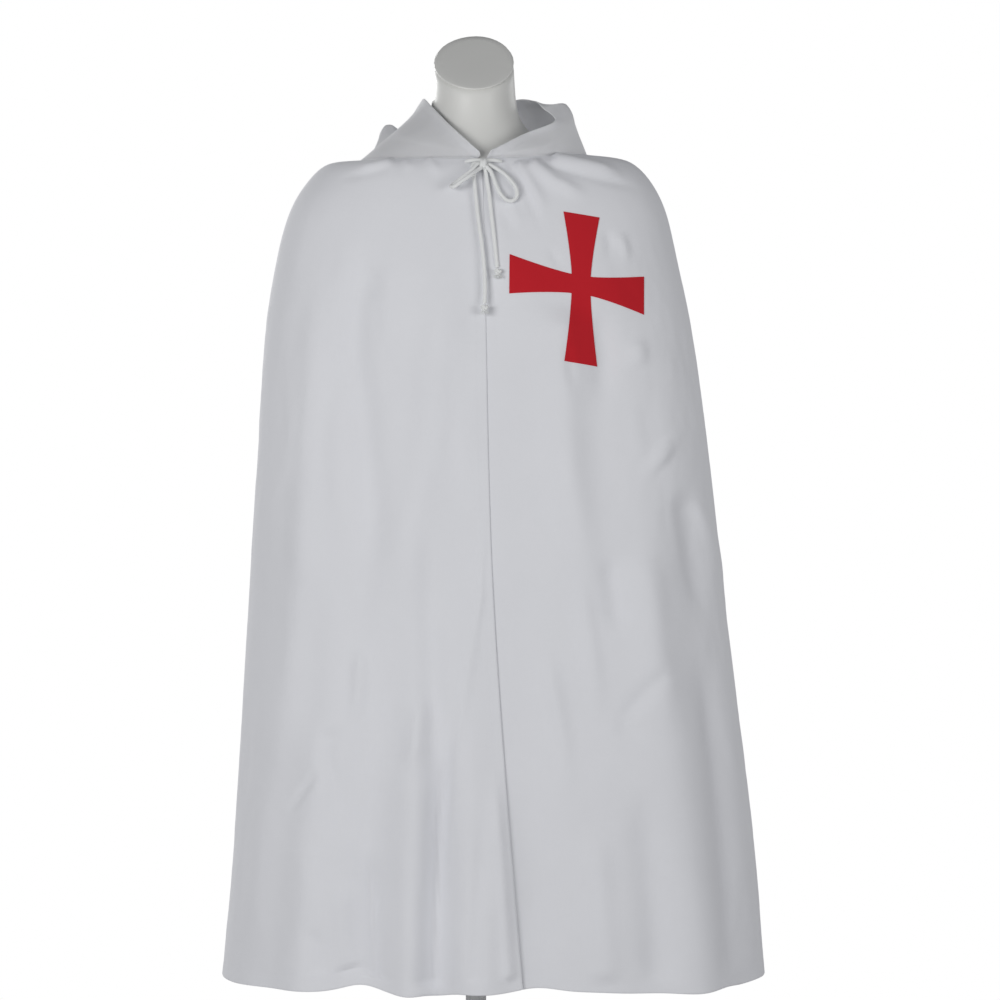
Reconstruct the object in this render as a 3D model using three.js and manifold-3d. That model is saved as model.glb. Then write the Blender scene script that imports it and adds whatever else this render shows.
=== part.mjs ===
// A hooded white mantle with a red cross, worn on a limbless display form. Sizes are in millimetres. +Z is
// up, the front faces -Y, +X is the wearer's left, and the origin is the middle of the base plate's
// underside.
import * as THREE from "three";
import Module from "manifold-3d";
import { mergeVertices } from "three/addons/utils/BufferGeometryUtils.js";

const wasm = await Module();
wasm.setup();

// Rows of a table as objects, by the names of its columns
const table = (columns, rows) =>
  rows.map((row) => Object.fromEntries(columns.map((name, i) => [name, row[i]])));

// Driving dimensions
const CLOTH = 1.6; // wall of the cloth
const CLOTH_LENGTH = 1150; // from the neckline to the hem
const SEAM = 0.3; // gap between two pieces that are sewn together
const SEAT = 0.6; // gap between the cloth and the shoulders that carry it
const SIDE_SEAM = 84; // degrees from the middle of the back to a side seam
const CORD = 5.5; // diameter of the tie cord

// The mantle is a loft through these rings, from the neckline to the hem.
// down: share of the way down the cloth. left_z, right_z, front_z, back_z: height of the ring on each side.
// left, right, front, back: reach from the axis. square: 2 is an ellipse, more is squarer.
// over, under: X of the edges of the two fronts, where the over front lies on the under front.
const MANTLE = table(
  ["down", "left_z", "right_z", "front_z", "back_z", "left", "right", "front", "back", "square",
    "over", "under"],
  [
    [0.0, 1354, 1363, 1349, 1386, 160, 152, 97, 94, 2.0, 4, 15],
    [0.037, 1350, 1355, 1333, 1370, 203, 207, 106, 108, 2.2, 8, 8],
    [0.062, 1331, 1334, 1312, 1346, 227, 234, 113, 118, 2.3, 10, 0],
    [0.104, 1290, 1292, 1270, 1302, 253, 258, 122, 128, 2.4, 11, -8],
    [0.158, 1230, 1230, 1214, 1238, 271, 274, 131, 138, 2.4, 12, -12],
    [0.249, 1124, 1124, 1116, 1128, 288, 296, 141, 150, 2.4, 14, -12],
    [0.39, 959, 959, 958, 962, 299, 318, 155, 166, 2.4, 17, -10],
    [0.525, 800, 800, 800, 804, 308, 336, 170, 184, 2.4, 22, -6],
    [0.683, 615, 615, 618, 620, 319, 358, 188, 205, 2.4, 33, 4],
    [0.859, 408, 408, 412, 412, 333, 383, 208, 228, 2.4, 49, 18],
    [1.0, 242, 244, 246, 246, 348, 396, 224, 246, 2.4, 63, 30],
  ],
);

// Folds that run down the mantle. angle: degrees from the middle of the back, at the hem. lean: degrees
// further at the fold's top. spread: half-width in degrees. top: share of the way down where it starts.
// out: how far it stands out at the hem. dip: how far the hem falls there.
const FOLDS = table(
  ["angle", "lean", "spread", "top", "out", "dip"],
  [
    [-12, 4, 8, 0.3, 26, 6],
    [-34, 8, 8, 0.22, 22, 5],
    [-57, 6, 8, 0.34, 20, 5],
    [14, -3, 8, 0.26, 24, 6],
    [37, -8, 8, 0.3, 24, 5],
    [60, -6, 8, 0.24, 18, 4],
    [-124, -6, 8, 0.5, 8, 0],
    [-142, -6, 7, 0.42, 14, 2],
    [-155, -3, 5, 0.5, -10, -9],
    [-166, 0, 4.5, 0.42, 16, 6],
    [-172.5, 5, 2.6, 0.35, -11, 3],
    [-181, 6, 5.5, 0.5, 14, 3],
    [168, 3, 5, 0.45, -6, -6],
    [150, 4, 7, 0.35, 4, 3],
    [136, 6, 8, 0.3, 16, 8],
    [120, 8, 7, 0.3, -6, 3],
  ],
);

// The over front stands clear of the under front near its edge, which dips under it. near, far: degrees
// from the edge.
const OVER_LIFT = { neck: 2.6, hem: 9, near: 4, far: 20 };
const OVER_START = 0.03; // share of the way down where the fronts begin to lie on each other
const UNDER_DIP = { depth: 4, near: 5, far: 22, start: 0.05, full: 0.3 };

// Short straight ridges on the fronts, seen from the front. Each is highest past its middle and ends low.
const CREASE_START = 0.15; // share of the full rise and fall that is cut off at a ridge's start
const CREASES = table(
  ["name", "x0", "z0", "x1", "z1", "width", "out"],
  [
    ["ridge beside the tie", 36, 1342, 70, 1236, 10, 5],
    ["ridge towards the cross", 62, 1349, 112, 1268, 11, 6],
    ["ridge to the shoulder", 80, 1352, 164, 1300, 12, 7],
    ["ridge along the shoulder", 108, 1358, 240, 1334, 11, 6],
    ["ridge on the other shoulder", -122, 1352, -192, 1336, 10, 4],
    ["elbow ridge", 262, 965, 322, 760, 34, 9],
  ],
);

// The hood lies down on the back, so each of its sections runs from the neckline up over a crest to the
// face edge, and at the back first down into the hanging part. side: share of the way round from the
// middle of the back to the front, negative on the wearer's right. hang: how far the cloth hangs below the
// neckline.
const HOOD = table(
  ["side", "hang", "crest_x", "crest_y", "crest_z", "rim_x", "rim_y", "rim_z"],
  [
    [-1.0, 0, 6, -101, 1353, 4, -104, 1358],
    [-0.8, 0, -68, -82, 1375, -34, -77, 1396],
    [-0.6, 0, -108, -38, 1392, -61, -36, 1427],
    [-0.45, 0, -104, 18, 1402, -72, 6, 1442],
    [-0.3, 60, -98, 84, 1406, -74, 76, 1444],
    [-0.15, 215, -62, 140, 1402, -46, 131, 1440],
    [0.0, 238, 0, 160, 1398, 0, 153, 1434],
    [0.15, 218, 66, 140, 1416, 52, 129, 1454],
    [0.3, 60, 108, 82, 1433, 80, 78, 1449],
    [0.45, 0, 124, 24, 1436, 94, 20, 1429],
    [0.6, 0, 130, -24, 1402, 108, -42, 1406],
    [0.8, 0, 88, -78, 1368, 64, -74, 1384],
    [1.0, 0, 18, -101, 1354, 22, -104, 1359],
  ],
);
const HANG_START = 40; // a hang of less than this only makes the standing part bulge
const HANG_WHOLE = 110; // from this hang on the pouch has its whole shape
const HANG_DEEP = 140; // from this hang on the pouch reaches out by off_deep
const HANG_FULL = 140; // from this hang on the pouch narrows by the whole of turn
const BULGE = 30; // reach of the bulge where the hanging part starts
const BULGE_RISE = 1.5; // upward part of its direction
// The hanging part, from the neckline to the crest. turn: share of the angle that is left, which narrows
// it. start, drop: reach below the neckline, as a length and a share of the hang. off, off_deep: reach out
// of the mantle where the hang starts, and where it is deepest. collar: place between neckline and crest
// where nothing hangs.
const POUCH_LINE = table(
  ["turn", "start", "drop", "off", "off_deep", "collar"],
  [
    [1.0, -6, 0, 5, 5, 0.05],
    [0.97, 9, 0, 12, 8, 0.1],
    [0.8, 6, 0.2, 19, 6, 0.15],
    [0.62, 0, 0.45, 19, 6, 0.22],
    [0.47, 0, 0.88, 17, 9, 0.31],
    [0.42, 0, 1.0, 20, 26, 0.42],
    [0.45, 0, 0.9, 25, 43, 0.56],
    [0.62, 0, 0.42, 28, 50, 0.74],
  ],
);

// The display form, from the slanted top of the neck to the hips, without its shoulders, which the
// mantle's own rings give. side_z: height at both sides. half: half of the width. The other columns are as
// for the mantle.
const NECK = table(
  ["side_z", "front_z", "back_z", "left", "right", "front", "back", "square"],
  [
    [1489.5, 1444.5, 1530.5, 58, 52, 65, 60, 2.0],
    [1447, 1420, 1474, 60, 54, 65, 62, 2.0],
    [1412, 1394, 1436, 64, 58, 67, 68, 2.0],
    [1386, 1373, 1408, 82, 80, 75, 76, 2.0],
    [1366, 1359, 1392, 120, 118, 86, 85, 2.0],
  ],
);
const TORSO = table(
  ["side_z", "front_z", "back_z", "half", "front", "back", "square"],
  [
    [1296, 1282, 1304, 228, 110, 114, 2.2],
    [1240, 1228, 1242, 215, 116, 116, 2.3],
    [1150, 1142, 1150, 182, 117, 106, 2.3],
    [1055, 1052, 1056, 160, 104, 90, 2.2],
    [970, 970, 970, 152, 95, 86, 2.2],
    [880, 880, 880, 166, 102, 104, 2.2],
    [800, 800, 800, 174, 108, 112, 2.2],
    [770, 770, 770, 170, 104, 108, 2.2],
    [762, 762, 762, 160, 95, 98, 2.2],
  ],
);
const SHOULDER_ROWS = 4; // rows of the mantle, from the neckline, that lie on the form
const CAP_THICK = 5; // plate on the cut neck
const CAP_STEP = 0.4; // gap between neck and cap plate
const POLE_R = 14;
const COLLAR_R = 26; // boss that holds the pole on the base plate
const COLLAR_H = 34;
const BASE_R = 165;
const BASE_H = 9;
const EDGE = 3; // chamfer on the collar, the base plate and the cap

// The cross patch, seen from the front
const CROSS = {
  x: 141.5, z: 1177, // middle
  up: 95.5, down: 106, left: 97, right: 86, // arms, the last one seen at a slant
  waist: 13, // half-width of each arm at the middle
  up_end: 24.6, down_end: 22.4, left_end: 26.5, right_end: 26, // half-width of each arm at its end
  flare: 1.35, // above 1 an arm widens more towards its end
  tilt: 8.5, // degrees that the level arms fall towards +X
  lean: 0.5, // degrees that the upright arms lean
};
const PATCH = 0.9; // thickness of the patch

// The tie at the neck: a cord whose bow hangs from a knot, laid over the two fronts. Each route is a list
// of X, Y, Z. Its bar lies along the neckline under the knot.
const CORD_SIDES = 8;
const CORDS = [
  { name: "tie_end_long", steps: 18, route: [
    [-2.8, -108.8, 1340], [-1.6, -117.2, 1320.8], [0.9, -124, 1294.7], [5, -131, 1258], [9, -136, 1229.5],
    [11.7, -139.6, 1204], [13, -142.6, 1176.2], [12.6, -145.6, 1150.3],
  ] },
  { name: "tie_end_short", steps: 14, route: [
    [13.6, -112.5, 1331.2], [15.6, -115.8, 1316.9], [18.3, -119.2, 1300.5], [21.4, -124.6, 1273.2],
    [24.5, -128.7, 1247.5], [27.1, -131.9, 1223.2], [29.4, -135, 1199],
  ] },
  { name: "tie_loop_right", steps: 22, route: [
    [1, -115.6, 1338.6], [-4.5, -120.8, 1331], [-16.5, -119.9, 1321.8], [-26.5, -120.9, 1314.2],
    [-32.1, -126.5, 1308.7], [-28.4, -133.8, 1307.6], [-17.7, -134, 1315.1], [-5.7, -129.8, 1323.6],
    [3.2, -120.4, 1331.4],
  ] },
  { name: "tie_loop_left", steps: 24, route: [
    [21.4, -110.5, 1338], [29, -110.6, 1333.8], [39.7, -114.8, 1325.7], [48.4, -119.3, 1315.9],
    [54.4, -120.4, 1306.5], [55.8, -121.2, 1297.7], [51.1, -123, 1290.4], [43, -124.3, 1290],
    [34.3, -123.4, 1298.1], [28, -120, 1310.4], [24, -117, 1321.5], [19.6, -115.5, 1331.3],
  ] },
];
const BAR = [
  [-9.3, -104.4, 1344.9], [-1.9, -106, 1345.8], [6.1, -108.4, 1345.4],
  [15.5, -108.4, 1345.4], [23.6, -106, 1345.9], [31, -104.4, 1345],
];
const KNOT = { x: 11.5, y: -112.9, z: 1339.5, wide: 8.8, deep: 6.6, high: 7 };
const STOPPERS = [
  { name: "stopper_long", x: 12.4, y: -149, z: 1143.9 },
  { name: "stopper_short", x: 30.2, y: -138.6, z: 1192.6 },
];
const STOPPER_R = 6;

const rad = THREE.MathUtils.degToRad;
const deg = THREE.MathUtils.radToDeg;

// Value of one column at a place in a table: a cubic through the rows that starts and ends level with its
// neighbours.
function along(table, key, column, at) {
  const last = table.length - 1;
  const k = Math.min(last - 1, Math.max(0, table.findIndex((row) => row[key] > at) - 1));
  const i = at >= table[last][key] ? last - 1 : k;
  const slope = (n) => {
    const a = Math.max(0, n - 1);
    const b = Math.min(last, n + 1);
    return (table[b][column] - table[a][column]) / (table[b][key] - table[a][key]);
  };
  const h = table[i + 1][key] - table[i][key];
  const s = (at - table[i][key]) / h;
  const [p, q] = [table[i][column], table[i + 1][column]];
  return (
    p * (1 + 2 * s) * (1 - s) ** 2 + slope(i) * h * s * (1 - s) ** 2 +
    q * s * s * (3 - 2 * s) + slope(i + 1) * h * s * s * (s - 1)
  );
}

const smooth = (low, high, x) => THREE.MathUtils.smoothstep(x, low, high);
const bell = (x) => Math.exp(-x * x);

// Point of a ring at an angle from the middle of the back, where 90 is +X.
function ringPoint(ring, degrees) {
  const [sin, cos] = [Math.sin(rad(degrees)), Math.cos(rad(degrees))];
  const wide = sin < 0 ? ring.left : ring.right;
  const deep = cos < 0 ? ring.front : ring.back;
  const turn = Math.atan2(wide * sin, deep * cos);
  const [ux, uy] = [Math.sin(turn), Math.cos(turn)];
  const power = ring.square;
  const reach = (Math.abs(ux / wide) ** power + Math.abs(uy / deep) ** power) ** (-1 / power);
  const side = sin < 0 ? ring.left_z : ring.right_z;
  const z = side * sin * sin + (cos < 0 ? ring.front_z : ring.back_z) * cos * cos;
  return new THREE.Vector3(ux * reach, uy * reach, z);
}

function mantleRing(down) {
  const ring = {};
  for (const column of Object.keys(MANTLE[0])) ring[column] = along(MANTLE, "down", column, down);
  return ring;
}

// Angle where a ring's front has a given X, as a little more or less than 180.
const edgeAngle = (ring, x) => 180 - deg(Math.atan(x / (x < 0 ? ring.left : ring.right)));

// Sum of one column of the folds at an angle, weighted by how far each has grown
function foldSum(degrees, down, column, growth) {
  let sum = 0;
  for (const fold of FOLDS) {
    const grown = smooth(fold.top, 1, down);
    const middle = fold.angle + fold.lean * (1 - grown);
    const away = Math.abs(((degrees - middle + 540) % 360) - 180);
    sum += fold[column] * growth(grown) * bell(away / fold.spread);
  }
  return sum;
}
const foldDepth = (degrees, down) => foldSum(degrees, down, "out", (grown) => grown);
const hemDip = (degrees, down) => foldSum(degrees, down, "dip", (grown) => grown ** 6);

function creaseDepth(p) {
  if (p.y > 0) return 0;
  let out = 0;
  for (const c of CREASES) {
    const [dx, dz] = [c.x1 - c.x0, c.z1 - c.z0];
    const s = THREE.MathUtils.clamp(((p.x - c.x0) * dx + (p.z - c.z0) * dz) / (dx * dx + dz * dz), 0, 1);
    const away = Math.hypot(p.x - c.x0 - s * dx, p.z - c.z0 - s * dz);
    out += c.out * Math.sin(Math.PI * (CREASE_START + (1 - CREASE_START) * s)) * bell(away / c.width);
  }
  return out;
}

// Outward normal of a surface point(degrees, down), worked out from its neighbours
const STEP = { degrees: 0.5, down: 0.004, side: 0.04, share: 0.03 };
function normalOf(point, degrees, down) {
  const [turn, step] = [STEP.degrees, STEP.down];
  const across = point(degrees + turn, down).sub(point(degrees - turn, down));
  const below = point(degrees, down + step).sub(point(degrees, down - step));
  return across.cross(below).normalize();
}

const bareMantle = (degrees, down) => ringPoint(mantleRing(down), degrees);

// Surface of the cloth with its folds, moved out further by lift(degrees, down)
function foldedMantle(lift) {
  return (degrees, down) => {
    const p = bareMantle(degrees, down);
    const out = foldDepth(degrees, down) + creaseDepth(p) + lift(degrees, down);
    p.addScaledVector(normalOf(bareMantle, degrees, down), out);
    p.z -= hemDip(degrees, down);
    return p;
  };
}

// Closed wall between two offsets of a surface. The rows list its places from the top down, as [degrees,
// down].
function wallGeometry(surface, rows, near, far) {
  const face = (offset) =>
    rows.map((row) => row.map(([u, v]) => surface(u, v).addScaledVector(normalOf(surface, u, v), offset)));
  return layerGeometry(face(far), face(near));
}

// Closed wall between an outer and an inner grid of points
function layerGeometry(outer, inner) {
  const columns = outer[0].length;
  const faces = [];
  const face = (a, b, c, d) => faces.push(a, b, c, a, c, d);
  const out = (j, i) => j * columns + i;
  const into = (j, i) => (outer.length + j) * columns + i;
  const [endRow, endColumn] = [outer.length - 1, columns - 1];
  for (let j = 0; j < endRow; j++)
    for (let i = 0; i < endColumn; i++) {
      face(out(j, i), out(j, i + 1), out(j + 1, i + 1), out(j + 1, i));
      face(into(j, i), into(j + 1, i), into(j + 1, i + 1), into(j, i + 1));
    }
  for (let i = 0; i < endColumn; i++) {
    face(out(0, i), into(0, i), into(0, i + 1), out(0, i + 1));
    face(out(endRow, i), out(endRow, i + 1), into(endRow, i + 1), into(endRow, i));
  }
  for (let j = 0; j < endRow; j++) {
    face(out(j, 0), out(j + 1, 0), into(j + 1, 0), into(j, 0));
    face(out(j, endColumn), into(j, endColumn), into(j + 1, endColumn), out(j + 1, endColumn));
  }
  return indexed([...outer.flat(), ...inner.flat()], faces);
}

// Closed solid through full rings, from the top down, with a flat fan at each end.
function ringGeometry(rings) {
  const count = rings[0].length;
  const middle = (ring) => ring.reduce((sum, p) => sum.add(p), new THREE.Vector3()).divideScalar(count);
  const corners = [...rings.flat(), middle(rings[0]), middle(rings.at(-1))];
  const [top, bottom] = [corners.length - 2, corners.length - 1];
  const faces = [];
  for (let i = 0; i < count; i++) {
    const next = (i + 1) % count;
    for (let j = 0; j < rings.length - 1; j++) {
      const [a, b] = [j * count, (j + 1) * count];
      faces.push(a + i, a + next, b + next, a + i, b + next, b + i);
    }
    const end = (rings.length - 1) * count;
    faces.push(top, next, i, bottom, end + i, end + next);
  }
  return indexed(corners, faces);
}

function indexed(corners, faces) {
  const geometry = new THREE.BufferGeometry().setFromPoints(corners).setIndex(faces);
  geometry.computeVertexNormals();
  return geometry;
}

// manifold-3d solid of a geometry, and the geometry of such a solid
function solidOf(geometry) {
  const bare = geometry.clone().deleteAttribute("normal").deleteAttribute("uv");
  const merged = mergeVertices(bare, 1e-3);
  const [vertProperties, triVerts] = [merged.attributes.position.array, new Uint32Array(merged.index.array)];
  return new wasm.Manifold(new wasm.Mesh({ numProp: 3, vertProperties, triVerts }));
}

function geometryOf(solid) {
  const { vertProperties, triVerts } = solid.getMesh();
  const geometry = new THREE.BufferGeometry();
  geometry.setAttribute("position", new THREE.BufferAttribute(vertProperties, 3));
  geometry.setIndex(new THREE.BufferAttribute(triVerts, 1)).computeVertexNormals();
  return geometry;
}

const materials = {
  cloth: new THREE.MeshStandardMaterial({ color: 0xe4e5e8, roughness: 0.75, metalness: 0 }),
  red_cloth: new THREE.MeshStandardMaterial({ color: 0xb3202c, roughness: 0.8, metalness: 0 }),
  cord: new THREE.MeshStandardMaterial({ color: 0xe2e2dc, roughness: 0.8, metalness: 0 }),
  form: new THREE.MeshStandardMaterial({ color: 0xdcdcd6, roughness: 0.25, metalness: 0 }),
  paint: new THREE.MeshStandardMaterial({ color: 0xdedfdd, roughness: 0.45, metalness: 0 }),
};
const group = new THREE.Group();

function add(name, geometry, material) {
  const mesh = new THREE.Mesh(geometry, material);
  mesh.name = name;
  group.add(mesh);
  return mesh;
}

// Places on a panel, from the neckline down, between two angles that are each a function of the ring
const PANEL_ROWS = 16;
const SHOULDER_CROWDING = 1.7; // above 1 the rows are closer together at the shoulders
const rowDown = (j) => (j / PANEL_ROWS) ** SHOULDER_CROWDING;
function panelPlaces(from, to, columns) {
  return Array.from({ length: PANEL_ROWS + 1 }, (_, j) => {
    const down = rowDown(j);
    const [first, last] = [from(mantleRing(down)), to(mantleRing(down))];
    return Array.from({ length: columns + 1 }, (_, i) => [first + ((last - first) * i) / columns, down]);
  });
}

// Width of half a seam as an angle
const seamTurn = (ring) => deg(SEAM / (ring.left + ring.right));
const overEdge = (ring) => edgeAngle(ring, ring.over) - 360;
const underEdge = (ring) => edgeAngle(ring, ring.under);
const back = foldedMantle(() => 0);
const overFront = foldedMantle((degrees, down) => {
  const away = degrees - overEdge(mantleRing(down));
  const height = OVER_LIFT.neck * smooth(0, OVER_START, down) + (OVER_LIFT.hem - OVER_LIFT.neck) * down;
  return height * (1 - smooth(OVER_LIFT.near, OVER_LIFT.far, away));
});
const underFront = foldedMantle((degrees, down) => {
  const away = underEdge(mantleRing(down)) - degrees;
  const dip = UNDER_DIP.depth * smooth(UNDER_DIP.start, UNDER_DIP.full, down);
  return -dip * (1 - smooth(UNDER_DIP.near, UNDER_DIP.far, away));
});
const sideEdge = (ring) => SIDE_SEAM - seamTurn(ring);
const backPlaces = panelPlaces((ring) => -sideEdge(ring), sideEdge, 30);
const overPlaces = panelPlaces(overEdge, (ring) => -SIDE_SEAM - seamTurn(ring), 18);
const underPlaces = panelPlaces((ring) => SIDE_SEAM + seamTurn(ring), underEdge, 18);
add("back", wallGeometry(back, backPlaces, -CLOTH, 0), materials.cloth);
add("front_right", wallGeometry(overFront, overPlaces, -CLOTH, 0), materials.cloth);
add("front_left", wallGeometry(underFront, underPlaces, -CLOTH, 0), materials.cloth);

// The cross is the under front's own surface, moved out and cut to the outline of the cross.
function crossOutline() {
  const level = new THREE.Vector2(Math.cos(rad(CROSS.tilt)), -Math.sin(rad(CROSS.tilt)));
  const upright = new THREE.Vector2(Math.sin(rad(CROSS.lean)), Math.cos(rad(CROSS.lean)));
  const arms = [
    { along: upright, across: level.clone(), reach: CROSS.up, end: CROSS.up_end },
    { along: level, across: upright.clone().negate(), reach: CROSS.right, end: CROSS.right_end },
    { along: upright.clone().negate(), across: level.clone().negate(), reach: CROSS.down, end: CROSS.down_end },
    { along: level.clone().negate(), across: upright, reach: CROSS.left, end: CROSS.left_end },
  ];
  const middle = new THREE.Vector2(CROSS.x, CROSS.z);
  const steps = 5;
  const points = [];
  for (const arm of arms)
    for (const side of [-1, 1])
      for (let k = 0; k <= steps; k++) {
        const share = side < 0 ? k / steps : 1 - k / steps;
        const from = CROSS.waist / arm.reach;
        const at = from + (1 - from) * share;
        const half = CROSS.waist + (arm.end - CROSS.waist) * share ** CROSS.flare;
        if (side < 0 && k === 0) continue; // the corner between two arms, which the arm before has given
        const p = middle.clone().addScaledVector(arm.along, at * arm.reach);
        points.push(p.addScaledVector(arm.across, side * half));
      }
  return points;
}
const outline = new THREE.Shape(crossOutline());
const cutter = new THREE.ExtrudeGeometry(outline, { depth: 200, bevelEnabled: false });
cutter.rotateX(Math.PI / 2).translate(0, -20, 0);
const moved = solidOf(wallGeometry(underFront, underPlaces, SEAM, SEAM + PATCH));
add("cross", geometryOf(moved.intersect(solidOf(cutter))), materials.red_cloth);

// Section of the hood at a side, from the neckline seam to the face edge
function hoodSection(side) {
  const neckline = mantleRing(0);
  const edge = side < 0 ? 360 - edgeAngle(neckline, neckline.over) : edgeAngle(neckline, neckline.under);
  const degrees = side * edge;
  const seam = bareMantle(degrees, 0);
  const up = seam.clone().sub(bareMantle(degrees, STEP.down)).normalize();
  seam.addScaledVector(up, SEAM);
  const value = (column) => along(HOOD, "side", column, side);
  const crest = new THREE.Vector3(value("crest_x"), value("crest_y"), value("crest_z"));
  const rim = new THREE.Vector3(value("rim_x"), value("rim_y"), value("rim_z"));
  const hang = Math.max(0, value("hang"));
  const bulge = BULGE * smooth(0, HANG_START, hang);
  const blend = smooth(HANG_START / 2, HANG_WHOLE, hang);
  const outward = normalOf(bareMantle, degrees, 0).setZ(BULGE_RISE).normalize();
  const pouch = POUCH_LINE.map((row) => {
    const off = row.off + (row.off_deep - row.off) * smooth(HANG_START, HANG_DEEP, hang);
    const turn = degrees * (1 - (1 - row.turn) * smooth(0, HANG_FULL, hang));
    const down = (row.start + row.drop * hang) / CLOTH_LENGTH;
    const hung = bareMantle(turn, down).addScaledVector(normalOf(bareMantle, turn, down), off);
    const stood = seam.clone().lerp(crest, row.collar);
    stood.addScaledVector(outward, bulge * Math.sin(Math.PI * row.collar));
    return stood.lerp(hung, blend);
  });
  return new THREE.CatmullRomCurve3([seam, ...pouch, crest, rim], false, "centripetal");
}

// The hood as a surface of the side, and of the share of the way from the face edge down to the seam
const sections = new Map();
function hood(side, share) {
  if (!sections.has(side)) sections.set(side, hoodSection(side));
  return sections.get(side).getPoint(THREE.MathUtils.clamp(1 - share, 0, 1));
}
const HOOD_ROWS = 20;
const HOOD_COLUMNS = 24;
const HOOD_SEAM = 0.0012; // share of the way round that half of the seam at the back takes
function hoodWall(from, to) {
  const grid = (offset) => Array.from({ length: HOOD_ROWS + 1 }, (_, j) =>
    Array.from({ length: HOOD_COLUMNS + 1 }, (_, i) => {
      const [side, share] = [from + ((to - from) * i) / HOOD_COLUMNS, j / HOOD_ROWS];
      return hood(side, share).addScaledVector(hoodNormal(side, share), offset);
    }));
  return layerGeometry(grid(0), grid(-CLOTH));
}
function hoodNormal(side, share) {
  const [turn, step] = [STEP.side, STEP.share];
  const across = hood(Math.min(1, side + turn), share).sub(hood(Math.max(-1, side - turn), share));
  const below = hood(side, Math.min(1, share + step)).sub(hood(side, Math.max(0, share - step)));
  return across.cross(below).normalize();
}
add("hood_right", hoodWall(-1, -HOOD_SEAM), materials.cloth);
add("hood_left", hoodWall(HOOD_SEAM, 1), materials.cloth);

// Tie
const vectors = (route) => route.map(([x, y, z]) => new THREE.Vector3(x, y, z));
function cordGeometry(route, steps) {
  const round = new THREE.EllipseCurve(0, 0, CORD / 2, CORD / 2).getPoints(CORD_SIDES);
  const section = new THREE.Shape(round.slice(1));
  const extrudePath = new THREE.CatmullRomCurve3(vectors(route), false, "centripetal");
  return new THREE.ExtrudeGeometry(section, { extrudePath, steps });
}
const ball = ({ x, y, z }, wide, deep, high) =>
  new THREE.SphereGeometry(1, 14, 10).rotateX(Math.PI / 2).scale(wide, deep, high).translate(x, y, z);
for (const cord of CORDS) add(cord.name, cordGeometry(cord.route, cord.steps), materials.cord);
const knotBall = ball(KNOT, KNOT.wide, KNOT.deep, KNOT.high);
add("tie_knot", geometryOf(solidOf(cordGeometry(BAR, 8)).add(solidOf(knotBall))), materials.cord);
for (const stopper of STOPPERS) {
  add(stopper.name, ball(stopper, STOPPER_R, STOPPER_R, STOPPER_R), materials.cord);
}

// Display form, cap, pole and base
const FORM_SIDES = 32;
const fullRing = (point) => Array.from({ length: FORM_SIDES }, (_, i) => point((360 * i) / FORM_SIDES));
// Ring of the form, whose height runs straight from each side to the front and the back
const formRing = (row) => fullRing((degrees) => {
  const ring = { left: row.half, right: row.half, left_z: 0, right_z: 0, ...row };
  const p = ringPoint(ring, degrees);
  const [end, deep] = p.y < 0 ? [row.front_z, row.front] : [row.back_z, row.back];
  p.z = row.side_z + ((end - row.side_z) * Math.abs(p.y)) / deep;
  return p;
});
// Ring of the form under the mantle
const seatRing = (down) => fullRing((degrees) =>
  bareMantle(degrees, down).addScaledVector(normalOf(bareMantle, degrees, down), -CLOTH - SEAT));
const capRing = (row, up, grow) =>
  formRing({ ...row, side_z: row.side_z + up, front_z: row.front_z + up, back_z: row.back_z + up,
    left: row.left + grow, right: row.right + grow, front: row.front + grow, back: row.back + grow });
const shoulders = Array.from({ length: SHOULDER_ROWS }, (_, j) => seatRing(rowDown(j)));
const torsoRings = [...NECK.map(formRing), ...shoulders, ...TORSO.map(formRing)];
add("form_torso", ringGeometry(torsoRings), materials.form);
add("form_cap", ringGeometry([
  capRing(NECK[0], CAP_STEP + CAP_THICK, -EDGE),
  capRing(NECK[0], CAP_STEP + CAP_THICK - EDGE, 0),
  capRing(NECK[0], CAP_STEP, 0),
]), materials.form);

// Stand, from profiles of [radius, height] that are turned about the pole
function turned(profile, sides) {
  const points = profile.map(([r, z]) => new THREE.Vector2(r, z));
  return new THREE.LatheGeometry(points, sides).rotateX(Math.PI / 2);
}
const poleStart = BASE_H + SEAM;
const poleEnd = TORSO.at(-1).side_z - SEAM;
const collarTop = BASE_H + COLLAR_H;
const boreR = POLE_R + SEAM;
add("pole", turned([
  [0, poleStart], [POLE_R, poleStart], [POLE_R, poleEnd], [0, poleEnd],
], 24), materials.paint);
add("pole_collar", turned([
  [boreR, poleStart], [COLLAR_R, poleStart], [COLLAR_R, collarTop - EDGE],
  [COLLAR_R - EDGE, collarTop], [boreR, collarTop], [boreR, poleStart],
], 24), materials.paint);
add("base_plate", turned([
  [0, 0], [BASE_R, 0], [BASE_R, BASE_H - EDGE], [BASE_R - EDGE, BASE_H], [0, BASE_H],
], 48), materials.paint);

export default group;
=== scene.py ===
"""A hooded white mantle with a red cross, dressed on a limbless display form."""

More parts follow.
